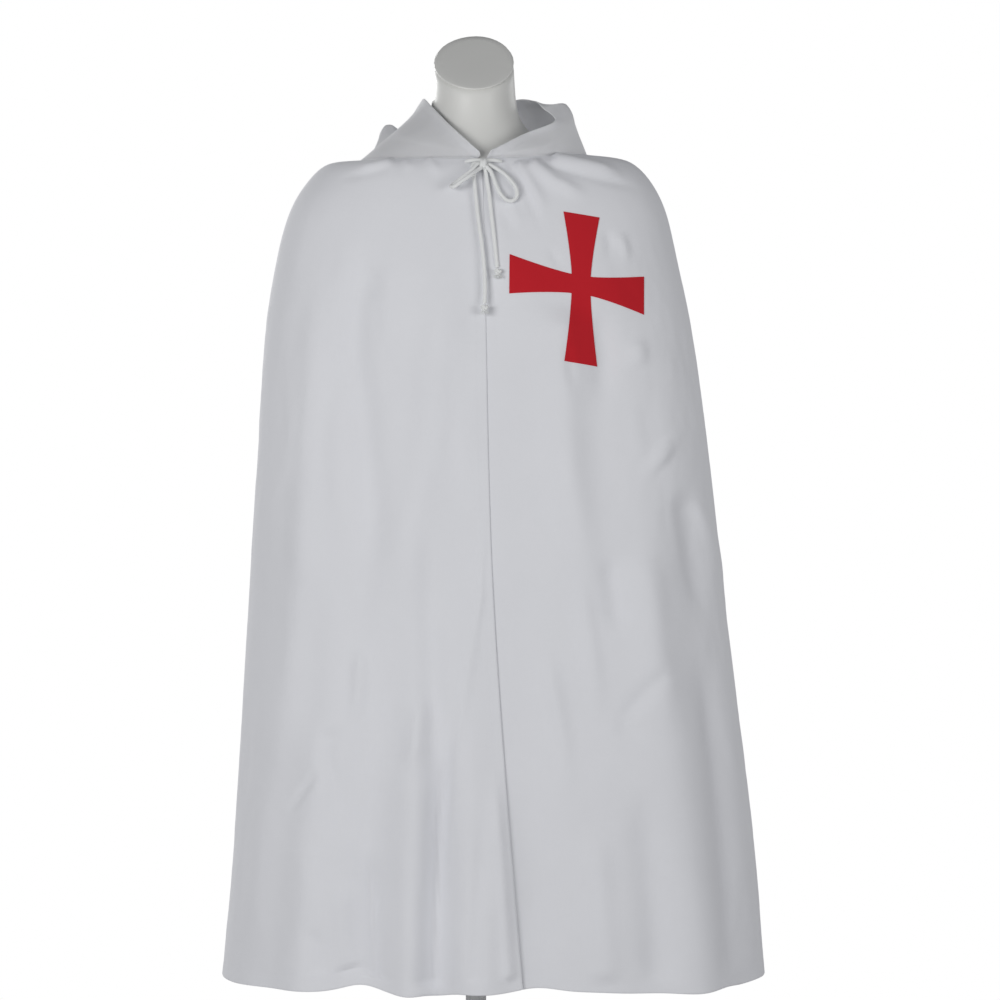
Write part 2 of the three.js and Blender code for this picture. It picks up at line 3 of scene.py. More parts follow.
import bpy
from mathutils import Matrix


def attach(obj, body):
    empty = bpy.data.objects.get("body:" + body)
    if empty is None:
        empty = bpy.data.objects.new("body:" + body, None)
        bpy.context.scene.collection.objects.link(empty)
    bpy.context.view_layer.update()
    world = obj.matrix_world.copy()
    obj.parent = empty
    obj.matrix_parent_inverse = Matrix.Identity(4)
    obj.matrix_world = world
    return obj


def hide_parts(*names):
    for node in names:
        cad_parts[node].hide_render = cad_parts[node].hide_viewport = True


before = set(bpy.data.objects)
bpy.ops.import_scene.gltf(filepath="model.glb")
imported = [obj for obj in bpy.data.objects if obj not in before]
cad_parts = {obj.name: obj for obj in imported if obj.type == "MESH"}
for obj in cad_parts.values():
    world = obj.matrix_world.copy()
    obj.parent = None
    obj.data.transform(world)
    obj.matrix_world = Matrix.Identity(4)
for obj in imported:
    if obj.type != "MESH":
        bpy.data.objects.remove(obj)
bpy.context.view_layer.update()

import logging
import math
from dataclasses import dataclass, field
from enum import Enum
from typing import Callable, Iterable, Sequence

import bmesh
import bpy
import numpy as np
from mathutils import Vector
from mathutils.bvhtree import BVHTree

LOG = logging.getLogger("mantle")
MM = 0.001
TINY = 1e-5
BODY = "root"
CLOTH_MAP = "cloth"
# Attribute with the braid's relief, which the cord's finish turns into painted shade in the hollows
BRAID_SHADE = "braid"

# Numbers of node sockets whose names occur more than once or differ by language
MIX_SHARE = 0
MIX_LOW = 6
MIX_HIGH = 7
MIX_COLOUR = 2
OBJECT_PLACE = 3
ATTRIBUTE_VALUE = 2


class Slot(Enum):
    """The record's material slots."""

    CLOTH = "white_cloth"
    RED = "red_cloth"
    CORD = "tie_cord"
    FORM = "form_shell"
    STAND = "stand_paint"


class Edge(Enum):
    """The four edges of a cloth grid."""

    TOP = "top"
    BOTTOM = "bottom"
    FIRST = "first"
    LAST = "last"


class Layer(Enum):
    """Where a panel of the mantle lies."""

    BACK = "back"
    OVER = "over"
    UNDER = "under"


# Shader maths


class Value:
    """One output of a shader node, with arithmetic that adds Math nodes."""

    def __init__(self, shader: "Shader", socket: bpy.types.NodeSocket) -> None:
        """Wraps a socket."""
        self.shader = shader
        self.socket = socket

    def _math(self, operation: str, *values: "Value | float") -> "Value":
        """Adds a Math node with its inputs in order, and returns its output."""
        inputs = dict(enumerate(values))
        return self.shader.node("ShaderNodeMath", {"operation": operation}, inputs)

    def __add__(self, other: "Value | float") -> "Value":
        """Sum."""
        return self._math("ADD", self, other)

    __radd__ = __add__

    def __sub__(self, other: "Value | float") -> "Value":
        """Difference."""
        return self._math("SUBTRACT", self, other)

    def __rsub__(self, other: float) -> "Value":
        """Difference from a number."""
        return self._math("SUBTRACT", other, self)

    def __mul__(self, other: "Value | float") -> "Value":
        """Product."""
        return self._math("MULTIPLY", self, other)

    __rmul__ = __mul__

    def wave(self) -> "Value":
        """Sine of the value."""
        return self._math("SINE", self)


class Shader:
    """Builds the nodes of one material around a Principled shader."""

    def __init__(self, name: str) -> None:
        """Makes the material.

        Args:
            name: its name.
        """
        self.material = bpy.data.materials.new(name)
        self.material.use_nodes = True
        self.tree = self.material.node_tree
        self.surface = self.tree.nodes["Principled BSDF"]

    def node(
        self, kind: str, settings: dict | None = None, inputs: dict | None = None, output: int = 0
    ) -> Value:
        """Adds a node.

        Args:
            kind: the node's type.
            settings: its attributes.
            inputs: values or links by socket name or number.
            output: the number of the output to return.

        Returns:
            That output.
        """
        node = self.tree.nodes.new(kind)
        for key, value in (settings or {}).items():
            setattr(node, key, value)
        for key, value in (inputs or {}).items():
            self._feed(node.inputs[key], value)
        return Value(self, node.outputs[output])

    def _feed(self, socket: bpy.types.NodeSocket, value: "Value | float | tuple") -> None:
        """Links a value to a socket, or sets it there.

        Args:
            socket: the input.
            value: a link or a constant.
        """
        if isinstance(value, Value):
            self.tree.links.new(value.socket, socket)
        elif isinstance(value, tuple) and len(value) == 3 and socket.type == "RGBA":
            socket.default_value = (*value, 1.0)
        else:
            socket.default_value = value

    def set(self, **values: "Value | float | tuple") -> None:
        """Sets or links sockets of the Principled shader, named with _ for a space."""
        for key, value in values.items():
            self._feed(self.surface.inputs[key.replace("_", " ")], value)

    def place(self) -> Value:
        """Places on the object, in metres."""
        return self.node("ShaderNodeTexCoord", output=OBJECT_PLACE)

    def mix(self, share: "Value | float", low: "Value | tuple", high: "Value | tuple") -> Value:
        """Mixes two colours, with a share of the second."""
        inputs = {MIX_SHARE: share, MIX_LOW: low, MIX_HIGH: high}
        return self.node("ShaderNodeMix", {"data_type": "RGBA"}, inputs, MIX_COLOUR)

    def noise(self, place: Value, scale: float, detail: float = 3.0, rough: float = 0.5) -> Value:
        """Smooth noise from 0 to 1, whose scale is how many blobs come to a unit of place."""
        inputs = {"Vector": place, "Scale": scale, "Detail": detail, "Roughness": rough}
        return self.node("ShaderNodeTexNoise", {}, inputs)

    def bump(self, height: Value, strength: float, distance: float, under: Value | None = None) -> Value:
        """Turns a height into a normal.

        Args:
            height: height in units of distance.
            strength: share of the effect.
            distance: metres for a height of 1.
            under: a normal to build on.

        Returns:
            The normal.
        """
        inputs = {"Height": height, "Strength": strength, "Distance": distance}
        if under is not None:
            inputs["Normal"] = under
        return self.node("ShaderNodeBump", {}, inputs)

    def stretched(self, place: Value, scale: tuple) -> Value:
        """Coordinates multiplied by a factor along each axis."""
        return self.node("ShaderNodeMapping", {}, {"Vector": place, "Scale": scale})


# Finishes


@dataclass(frozen=True)
class WovenFinish:
    """Plain woven cloth, patterned along its own threads."""

    name: str
    light: tuple
    dark: tuple
    thread: float = 0.55 * MM
    relief: float = 0.35
    roughness: float = 0.86
    sheen: float = 0.15
    through: float = 0.0
    through_reach: float = 4.0 * MM

    def material(self) -> bpy.types.Material:
        """Builds the material: weave, slubs, soft crumple and faint unevenness of colour.

        Returns:
            The material.
        """
        shader = Shader(self.name)
        place = shader.node("ShaderNodeUVMap", {"uv_map": CLOTH_MAP})
        across, along = (shader.node("ShaderNodeSeparateXYZ", {}, {"Vector": place}, k) for k in (0, 1))
        turn = math.pi / self.thread
        weave = (across * turn).wave() * (along * turn).wave()
        rows = ((across * turn * 2.0).wave() + (along * turn * 2.0).wave()) * 0.25
        slub = shader.noise(shader.stretched(place, (900.0, 25.0, 1.0)), 1.0, 2.0)
        cross_slub = shader.noise(shader.stretched(place, (25.0, 900.0, 1.0)), 1.0, 2.0)
        body = shader.place()
        soft = shader.noise(body, 26.0, 4.0, 0.55)
        cloud = shader.noise(body, 6.0, 3.0, 0.5)
        shade = (slub + cross_slub) * 0.22 + cloud * 0.9 - 0.18
        crumple = shader.bump(soft, 0.25, 2.0 * MM)
        threads = weave * 0.5 + rows + (slub + cross_slub) * 0.8
        normal = shader.bump(threads, self.relief, 0.12 * MM, crumple)
        shader.set(
            Base_Color=shader.mix(shade, self.dark, self.light),
            Roughness=shade * 0.08 + (self.roughness - 0.04),
            Normal=normal,
        )
        shader.set(Sheen_Weight=self.sheen, Sheen_Roughness=0.5, Specular_IOR_Level=0.25)
        if self.through > 0:
            shader.set(Subsurface_Weight=self.through, Subsurface_Scale=self.through_reach)
            shader.set(Subsurface_Radius=(1.0, 1.0, 1.0))
        return shader.material


@dataclass(frozen=True)
class CordFinish:
    """Braided cotton cord, whose braid is in the mesh and whose hollows get painted shade."""

    name: str = "braided cotton"
    light: tuple = (0.93, 0.94, 0.93)
    dark: tuple = (0.76, 0.77, 0.765)

    def material(self) -> bpy.types.Material:
        """Builds the material: fine fibres, and painted shade that darkens the hollows between the braid's
        strands.

        Returns:
            The material.
        """
        shader = Shader(self.name)
        body = shader.place()
        fibre = shader.noise(body, 2600.0, 3.0, 0.6)
        # Painted shade: the braid's relief darkens the colour in the hollows between strands, where shade
        # would fall
        hollow = shader.node("ShaderNodeAttribute", {"attribute_name": BRAID_SHADE}, output=ATTRIBUTE_VALUE)
        shader.set(
            Base_Color=shader.mix(hollow * 0.8 + fibre * 0.2, self.dark, self.light),
            Roughness=fibre * 0.1 + 0.78,
            Normal=shader.bump(fibre, 0.35, 0.15 * MM),
        )
        shader.set(Sheen_Weight=0.2, Specular_IOR_Level=0.3)
        return shader.material


@dataclass(frozen=True)
class GlossFinish:
    """Glossy moulded shell of the display form, faintly uneven."""

    name: str = "glossy shell"
    light: tuple = (0.838, 0.838, 0.808)
    dark: tuple = (0.79, 0.79, 0.76)
    roughness: float = 0.4

    def material(self) -> bpy.types.Material:
        """Builds the material: soft waviness of the moulding and faint handling marks.

        Returns:
            The material.
        """
        shader = Shader(self.name)
        body = shader.place()
        wavy = shader.noise(body, 14.0, 2.0, 0.4)
        marks = shader.noise(shader.stretched(body, (1.0, 1.0, 0.3)), 160.0, 4.0, 0.6)
        shader.set(
            Base_Color=shader.mix(wavy, self.dark, self.light),
            Roughness=marks * 0.12 + (self.roughness - 0.06),
            Normal=shader.bump(wavy, 0.12, 3.0 * MM),
        )
        shader.set(Coat_Weight=0.15, Coat_Roughness=0.2, Specular_IOR_Level=0.45)
        return shader.material


@dataclass(frozen=True)
class PaintFinish:
    """Powder coat on steel, with its fine orange-peel."""

    name: str = "powder coat"
    light: tuple = (0.88, 0.88, 0.87)
    dark: tuple = (0.83, 0.83, 0.82)

    def material(self) -> bpy.types.Material:
        """Builds the material: a fine pebbled coat with faint scuffs.

        Returns:
            The material.
        """
        shader = Shader(self.name)
        body = shader.place()
        peel = shader.noise(body, 900.0, 2.0, 0.5)
        scuff = shader.noise(body, 35.0, 5.0, 0.65)
        shader.set(
            Base_Color=shader.mix(scuff, self.dark, self.light),
            Roughness=scuff * 0.2 + 0.32,
            Normal=shader.bump(peel, 0.25, 0.1 * MM),
        )
        shader.set(Specular_IOR_Level=0.5)
        return shader.material


# Mesh helpers


def deselect() -> None:
    """Leaves nothing selected or active in object mode."""
    if bpy.context.object is not None and bpy.context.object.mode != "OBJECT":
        bpy.ops.object.mode_set(mode="OBJECT")
    bpy.ops.object.select_all(action="DESELECT")


def activate(piece: bpy.types.Object) -> None:
    """Selects one object alone.

    Args:
        piece: the object.
    """
    deselect()
    piece.select_set(True)
    bpy.context.view_layer.objects.active = piece


def dress(piece: bpy.types.Object, material: bpy.types.Material, slot: Slot, *nodes: str) -> bpy.types.Object:
    """Gives a finished piece its material and body, and hides the CAD nodes that it stands for.

    Args:
        piece: the piece.
        material: its finish.
        slot: not used.
        nodes: CAD nodes that it replaces.

    Returns:
        The piece.
    """
    piece.data.materials.clear()
    piece.data.materials.append(material)
    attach(piece, BODY)
    if nodes:
        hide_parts(*nodes)
    LOG.info("%s: %d faces", piece.name, len(piece.data.polygons))
    return piece


def mesh_object(name: str, points: np.ndarray, faces: Sequence[Sequence[int]]) -> bpy.types.Object:
    """Makes a smooth mesh object.

    Args:
        name: its name.
        points: vertices in metres, one a row.
        faces: vertex numbers of each face.

    Returns:
        The object.
    """
    data = bpy.data.meshes.new(name)
    data.from_pydata(np.asarray(points, float).tolist(), [], [list(map(int, f)) for f in faces])
    data.shade_smooth()
    piece = bpy.data.objects.new(name, data)
    bpy.context.scene.collection.objects.link(piece)
    return piece


def modify(piece: bpy.types.Object, name: str, kind: str, **settings: "float | str") -> None:
    """Adds a modifier to the active piece and applies it.

    Args:
        piece: the active object.
        name: the modifier's name.
        kind: its type.
        settings: its attributes.
    """
    modifier = piece.modifiers.new(name, kind)
    for key, value in settings.items():
        setattr(modifier, key, value)
    bpy.ops.object.modifier_apply(modifier=name)


def cylinder(name: str, vertices: int, radius: float, depth: float, middle: float) -> bpy.types.Object:
    """Makes an upright cylinder on the axis, with its origin at the world's.

    Args:
        name: its name.
        vertices: how many points round it.
        radius: its radius.
        depth: its height.
        middle: height of its middle.

    Returns:
        The object, active.
    """
    deselect()
    bpy.ops.mesh.primitive_cylinder_add(
        vertices=vertices, radius=radius, depth=depth, location=(0.0, 0.0, middle)
    )
    piece = bpy.context.object
    piece.name = name
    bpy.ops.object.transform_apply(location=True, rotation=True, scale=True)
    return piece


def pick_parts(piece: bpy.types.Object, faces: bool, wanted: Callable) -> None:
    """Goes into edit mode with some faces or edges of the active piece selected, and no others.

    Args:
        piece: the active object.
        faces: whether faces are picked, and not edges.
        wanted: says of one face or edge whether it is picked.
    """
    bpy.ops.object.mode_set(mode="EDIT")
    bpy.ops.mesh.select_all(action="DESELECT")
    form = bmesh.from_edit_mesh(piece.data)
    for part in form.faces if faces else form.edges:
        part.select = wanted(part)
    bmesh.update_edit_mesh(piece.data)


def is_level(face: bmesh.types.BMFace) -> bool:
    """Whether a face is level."""
    return abs(face.normal.z) > 0.99


def map_cloth(piece: bpy.types.Object, places: np.ndarray) -> None:
    """Writes the map that the woven finish reads.

    Args:
        piece: the object.
        places: each vertex's place along the threads, in metres.
    """
    layer = piece.data.uv_layers.new(name=CLOTH_MAP)
    corner = np.zeros(len(piece.data.loops), np.int32)
    piece.data.loops.foreach_get("vertex_index", corner)
    layer.data.foreach_set("uv", places[corner].astype(np.float32).ravel())


def grid_quads(rows: int, columns: int, first: int = 0) -> np.ndarray:
    """Faces of a grid of points that are numbered row by row.

    Args:
        rows: how many rows of points.
        columns: how many points a row.
        first: the first point's number.

    Returns:
        (faces, 4) point numbers.
    """
    number = np.arange(rows * columns).reshape(rows, columns) + first
    corners = (number[:-1, :-1], number[:-1, 1:], number[1:, 1:], number[1:, :-1])
    return np.stack(corners, axis=-1).reshape(-1, 4)


def tube_quads(rings: int, sides: int, first: int = 0) -> list[tuple[int, ...]]:
    """Side faces of a tube whose points are numbered ring by ring.

    Args:
        rings: how many rings.
        sides: how many points a ring.
        first: the first point's number.

    Returns:
        Point numbers of each face.
    """
    faces = []
    for near in range(first, first + (rings - 1) * sides, sides):
        far = near + sides
        for n in range(sides):
            m = (n + 1) % sides
            faces.append((near + n, near + m, far + m, far + n))
    return faces


def run_along(points: np.ndarray) -> np.ndarray:
    """Each point's distance from the first, along the line through all of them."""
    return np.concatenate([[0.0], np.cumsum(np.linalg.norm(np.diff(points, axis=0), axis=1))])


def read_along(run: np.ndarray, values: np.ndarray, at: "float | np.ndarray") -> np.ndarray:
    """Rows of three values, read between those given at each run, at some distances along a line."""
    return np.stack([np.interp(at, run, values[:, k]) for k in range(3)], axis=-1)


def grid_normals(points: np.ndarray) -> np.ndarray:
    """Normals of a grid of points."""
    across, below = np.gradient(points, axis=1), np.gradient(points, axis=0)
    return unit(np.cross(across, below))


def unit(vectors: np.ndarray) -> np.ndarray:
    """Vectors of length 1 in the same directions, X, Y, Z on the last axis."""
    return vectors / np.maximum(np.linalg.norm(vectors, axis=-1, keepdims=True), 1e-12)


def smooth(low: float, high: float, x: np.ndarray) -> np.ndarray:
    """Smooth step of x, from 0 at low to 1 at high."""
    t = np.clip((np.asarray(x, float) - low) / (high - low), 0.0, 1.0)
    return t * t * (3.0 - 2.0 * t)


@dataclass(frozen=True)
class Ripple:
    """Repeatable smooth noise on two coordinates."""

    seed: int
    cell: tuple[float, float]
    height: float = 1.0
    period: int = 257
    shift: float = 100.0

    @staticmethod
    def eased(t: np.ndarray) -> np.ndarray:
        """Smoother step from 0 to 1."""
        return t * t * t * (t * (t * 6 - 15) + 10)

    def at(self, u: np.ndarray, v: np.ndarray) -> np.ndarray:
        """Noise from minus the height to the height.

        Args:
            u: first coordinate, in the cell's units.
            v: second coordinate.

        Returns:
            The noise at each place.
        """
        lattice = np.random.default_rng(self.seed).uniform(-1.0, 1.0, (self.period, self.period))
        x, y = u / self.cell[0] + self.shift, v / self.cell[1] + self.shift
        i, j = np.floor(x).astype(int), np.floor(y).astype(int)
        s, t = self.eased(x - i), self.eased(y - j)
        near, far = i % self.period, (i + 1) % self.period
        below, above = j % self.period, (j + 1) % self.period
        low = lattice[near, below] * (1 - s) + lattice[far, below] * s
        high = lattice[near, above] * (1 - s) + lattice[far, above] * s
        return (low * (1 - t) + high * t) * self.height


@dataclass(frozen=True)
class Table:
    """Rows of numbers with named columns, read along a smooth curve through the rows."""

    columns: tuple[str, ...]
    rows: tuple[tuple[float, ...], ...]

    def column(self, name: str) -> np.ndarray:
        """All the values of one column."""
        k = self.columns.index(name)
        return np.array([row[k] for row in self.rows], float)

    def records(self) -> list[dict[str, float]]:
        """Every row, by the names of its columns."""
        return [dict(zip(self.columns, row)) for row in self.rows]

    def along(self, key: str, name: str, at: np.ndarray) -> np.ndarray:
        """Value of a column at places along another one.

        Args:
            key: the column of the places.
            name: the column to read.
            at: the places.

        Returns:
            The values.
        """
        x, y = self.column(key), self.column(name)
        last = len(x) - 1
        before, after = np.maximum(np.arange(last + 1) - 1, 0), np.minimum(np.arange(last + 1) + 1, last)
        slope = (y[after] - y[before]) / (x[after] - x[before])
        i = np.clip(np.searchsorted(x, at, side="right") - 1, 0, last - 1)
        h = x[i + 1] - x[i]
        s = (at - x[i]) / h
        start = y[i] * (1 + 2 * s) * (1 - s) ** 2 + slope[i] * h * s * (1 - s) ** 2
        return start + y[i + 1] * s * s * (3 - 2 * s) + slope[i + 1] * h * s * s * (s - 1)

    def all_along(self, key: str, at: np.ndarray) -> dict[str, np.ndarray]:
        """Values of every column at places along one of them."""
        return {name: self.along(key, name, at) for name in self.columns}


def knot_gap(start: np.ndarray, end: np.ndarray) -> np.ndarray:
    """Square roots of the distances between points, which space a centripetal curve."""
    return np.sqrt(np.linalg.norm(end - start, axis=-1, keepdims=True))


def catmull(points: np.ndarray, at: np.ndarray) -> np.ndarray:
    """Points of a centripetal curve through given points.

    Args:
        points: (n, ..., 3) points that the curve passes.
        at: shares of the way from the first point to the last, each point being as far as the next.

    Returns:
        (len(at), ..., 3) points.
    """
    first = 2 * points[0] - points[1]
    last = 2 * points[-1] - points[-2]
    line = np.concatenate([first[None], points, last[None]])
    count = len(points) - 1
    place = np.clip(at, 0.0, 1.0) * count
    k = np.clip(np.floor(place).astype(int), 0, count - 1)
    w = (place - k).reshape((-1,) + (1,) * (points.ndim - 1))
    p0, p1, p2, p3 = (line[k + n] for n in range(4))
    d0, d1, d2 = knot_gap(p0, p1), knot_gap(p1, p2), knot_gap(p2, p3)
    no_gap = 1e-4
    d1 = np.where(d1 < no_gap, 1.0, d1)
    d0 = np.where(d0 < no_gap, d1, d0)
    d2 = np.where(d2 < no_gap, d1, d2)
    t1 = ((p1 - p0) / d0 - (p2 - p0) / (d0 + d1) + (p2 - p1) / d1) * d1
    t2 = ((p2 - p1) / d1 - (p3 - p1) / (d1 + d2) + (p3 - p2) / d2) * d1
    a = 2 * p1 - 2 * p2 + t1 + t2
    b = -3 * p1 + 3 * p2 - 2 * t1 - t2
    return a * w**3 + b * w**2 + t1 * w + p1


# Camera and studio


@dataclass
class Studio:
    """The photograph's camera, soft light and a pale round floor."""

    eye: tuple = (0.033, -4.5, 0.8895)
    lens: float = 117.82
    floor_radius: float = 1.08
    floor_depth: float = 0.03
    floor_middle: float = -0.0152
    lamps: tuple = (
        ("key", (-1.4, -2.3, 1.25), (0.0, 0.0, 1.3), (1.3, 1.0), 28.0),
        ("fill", (2.0, -1.95, 1.15), (0.0, 0.0, 1.15), (1.2, 1.2), 17.0),
        ("back", (-1.9, 3.0, 2.0), (0.0, 0.0, 0.9), (2.2, 1.8), 66.0),
        ("rear fill", (2.4, 2.6, 1.4), (0.0, 0.0, 0.9), (1.6, 1.6), 13.0),
    )
    room_colour: tuple = (0.96, 0.97, 1.0, 1.0)
    room_strength: float = 0.245
    seen_colour: tuple = (1.0, 1.0, 1.0, 1.0)

    def camera(self) -> None:
        """Makes the camera, level and square to the front."""
        data = bpy.data.cameras.new("camera")
        data.lens = self.lens
        data.sensor_width = 36.0
        data.dof.use_dof = False
        data.clip_end = 100.0
        piece = bpy.data.objects.new("camera", data)
        piece.location = self.eye
        piece.rotation_euler = (math.radians(90.0), 0.0, 0.0)
        bpy.context.scene.collection.objects.link(piece)
        bpy.context.scene.camera = piece

    def lamp(self, name: str, place: tuple, aim: tuple, size: tuple, watts: float) -> None:
        """Makes a soft box.

        Args:
            name: its name.
            place: where it hangs.
            aim: the point that it faces.
            size: its width and height.
            watts: its power.
        """
        data = bpy.data.lights.new(name, "AREA")
        data.shape = "RECTANGLE"
        data.size, data.size_y = size
        data.energy = watts
        piece = bpy.data.objects.new(name, data)
        piece.location = place
        piece.rotation_euler = (Vector(aim) - Vector(place)).to_track_quat("-Z", "Y").to_euler()
        bpy.context.scene.collection.objects.link(piece)

    def lights(self) -> None:
        """Makes the soft boxes and a white surround that lights the room only weakly."""
        for lamp in self.lamps:
            self.lamp(*lamp)
        world = bpy.data.worlds.new("surround")
        bpy.context.scene.world = world
        world.use_nodes = True
        tree = world.node_tree
        room, seen = tree.nodes["Background"], tree.nodes.new("ShaderNodeBackground")
        room.inputs["Color"].default_value = self.room_colour
        room.inputs["Strength"].default_value = self.room_strength
        seen.inputs["Color"].default_value = self.seen_colour
        seen.inputs["Strength"].default_value = 1.0
        rays, blend = tree.nodes.new("ShaderNodeLightPath"), tree.nodes.new("ShaderNodeMixShader")
        tree.links.new(rays.outputs["Is Camera Ray"], blend.inputs[0])
        tree.links.new(room.outputs[0], blend.inputs[1])
        tree.links.new(seen.outputs[0], blend.inputs[2])
        tree.links.new(blend.outputs[0], tree.nodes["World Output"].inputs["Surface"])
        bpy.context.scene.view_settings.view_transform = "Standard"

    def floor(self) -> None:
        """Makes the pale floor, a thin disc with a soft edge."""
        disc = cylinder("floor", 128, self.floor_radius, self.floor_depth, self.floor_middle)
        modify(disc, "edge", "BEVEL", width=0.006, segments=3)
        bpy.ops.object.shade_smooth_by_angle(angle=math.radians(40.0))
        shader = Shader("pale floor")
        grain = shader.noise(shader.place(), 60.0, 4.0)
        shader.set(Base_Color=shader.mix(grain, (0.6, 0.6, 0.61), (0.65, 0.65, 0.66)), Roughness=0.7)
        disc.data.materials.append(shader.material)


# Cords


@dataclass
class BraidedTube:
    """A round braided cord along a route of points, in metres."""

    name: str
    route: Sequence[Sequence[float]]
    diameter: float = 5.5 * MM
    sides: int = 24
    step: float = 0.45 * MM
    strands: int = 8
    lay_length: float = 13.0 * MM
    relief: float = 0.12
    route_samples: int = 1200
    beside_start: tuple = (0.12, 0.9, 0.4)

    def centreline(self) -> np.ndarray:
        """Evenly spaced points along the route.

        Returns:
            The points.
        """
        rough = catmull(np.array(self.route, float), np.linspace(0.0, 1.0, self.route_samples))
        run = run_along(rough)
        count = max(8, int(run[-1] / self.step))
        return read_along(run, rough, np.linspace(0.0, run[-1], count + 1))

    def build(self) -> bpy.types.Object:
        """Builds the tube with its braid in relief and rounded ends, and stores the relief for the painted
        shade in its hollows.

        Returns:
            The object.
        """
        line = self.centreline()
        count = len(line)
        ahead = unit(np.gradient(line, axis=0))
        side = np.zeros_like(line)
        side[0] = unit(np.cross(ahead[0], self.beside_start))
        for k in range(1, count):
            side[k] = unit(side[k - 1] - ahead[k] * np.dot(side[k - 1], ahead[k]))
        up = np.cross(ahead, side)
        angle = np.linspace(0.0, 2 * math.pi, self.sides, endpoint=False)
        run = np.arange(count)[:, None] * self.step
        turn = run * 2 * math.pi / self.lay_length
        leaning_left = np.abs(np.cos((angle * self.strands / 2 + turn * self.strands / 4)))
        leaning_right = np.abs(np.cos((angle * self.strands / 2 - turn * self.strands / 4)))
        braid = np.maximum(leaning_left, leaning_right) ** 1.5
        radius = self.diameter / 2 * (1 - self.relief + self.relief * braid)
        end = np.minimum(run, run[::-1]) / (self.diameter * 0.45)
        radius = radius * np.sqrt(1 - (1 - np.clip(end, 0.02, 1.0)) ** 2)
        ring = side[:, None] * np.cos(angle)[:, None] + up[:, None] * np.sin(angle)[:, None]
        points = (line[:, None] + ring * radius[..., None]).reshape(-1, 3)
        points = np.concatenate([points, line[:1], line[-1:]])
        faces = tube_quads(count, self.sides)
        top, tail, last = len(points) - 2, len(points) - 1, (count - 1) * self.sides
        for n in range(self.sides):
            m = (n + 1) % self.sides
            faces.append((top, m, n))
            faces.append((tail, last + n, last + m))
        piece = mesh_object(self.name, points, faces)
        # The braid's relief, kept for the cord's painted shade in the hollows
        shade = piece.data.attributes.new(BRAID_SHADE, "FLOAT", "POINT")
        shade.data.foreach_set("value", np.concatenate([braid.ravel(), [1.0, 1.0]]).astype(np.float32))
        return piece


def joined(name: str, pieces: list[bpy.types.Object]) -> bpy.types.Object:
    """Joins objects into one.

    Args:
        name: the name of the result.
        pieces: the objects.

    Returns:
        The joined object.
    """
    deselect()
    for piece in pieces:
        piece.select_set(True)
    bpy.context.view_layer.objects.active = pieces[0]
    bpy.ops.object.join()
    pieces[0].name = name
    pieces[0].data.name = name
    return pieces[0]


@dataclass(frozen=True)
class Stretch:
    """One stretch of the tie's cord: its CAD node, length, route and the leads into the knot, in metres."""

    node: str
    length: float
    route: tuple[tuple[float, float, float], ...]
    before: tuple[tuple[float, float, float], ...]
    after: tuple[tuple[float, float, float], ...] = ()
    stopper: str = ""


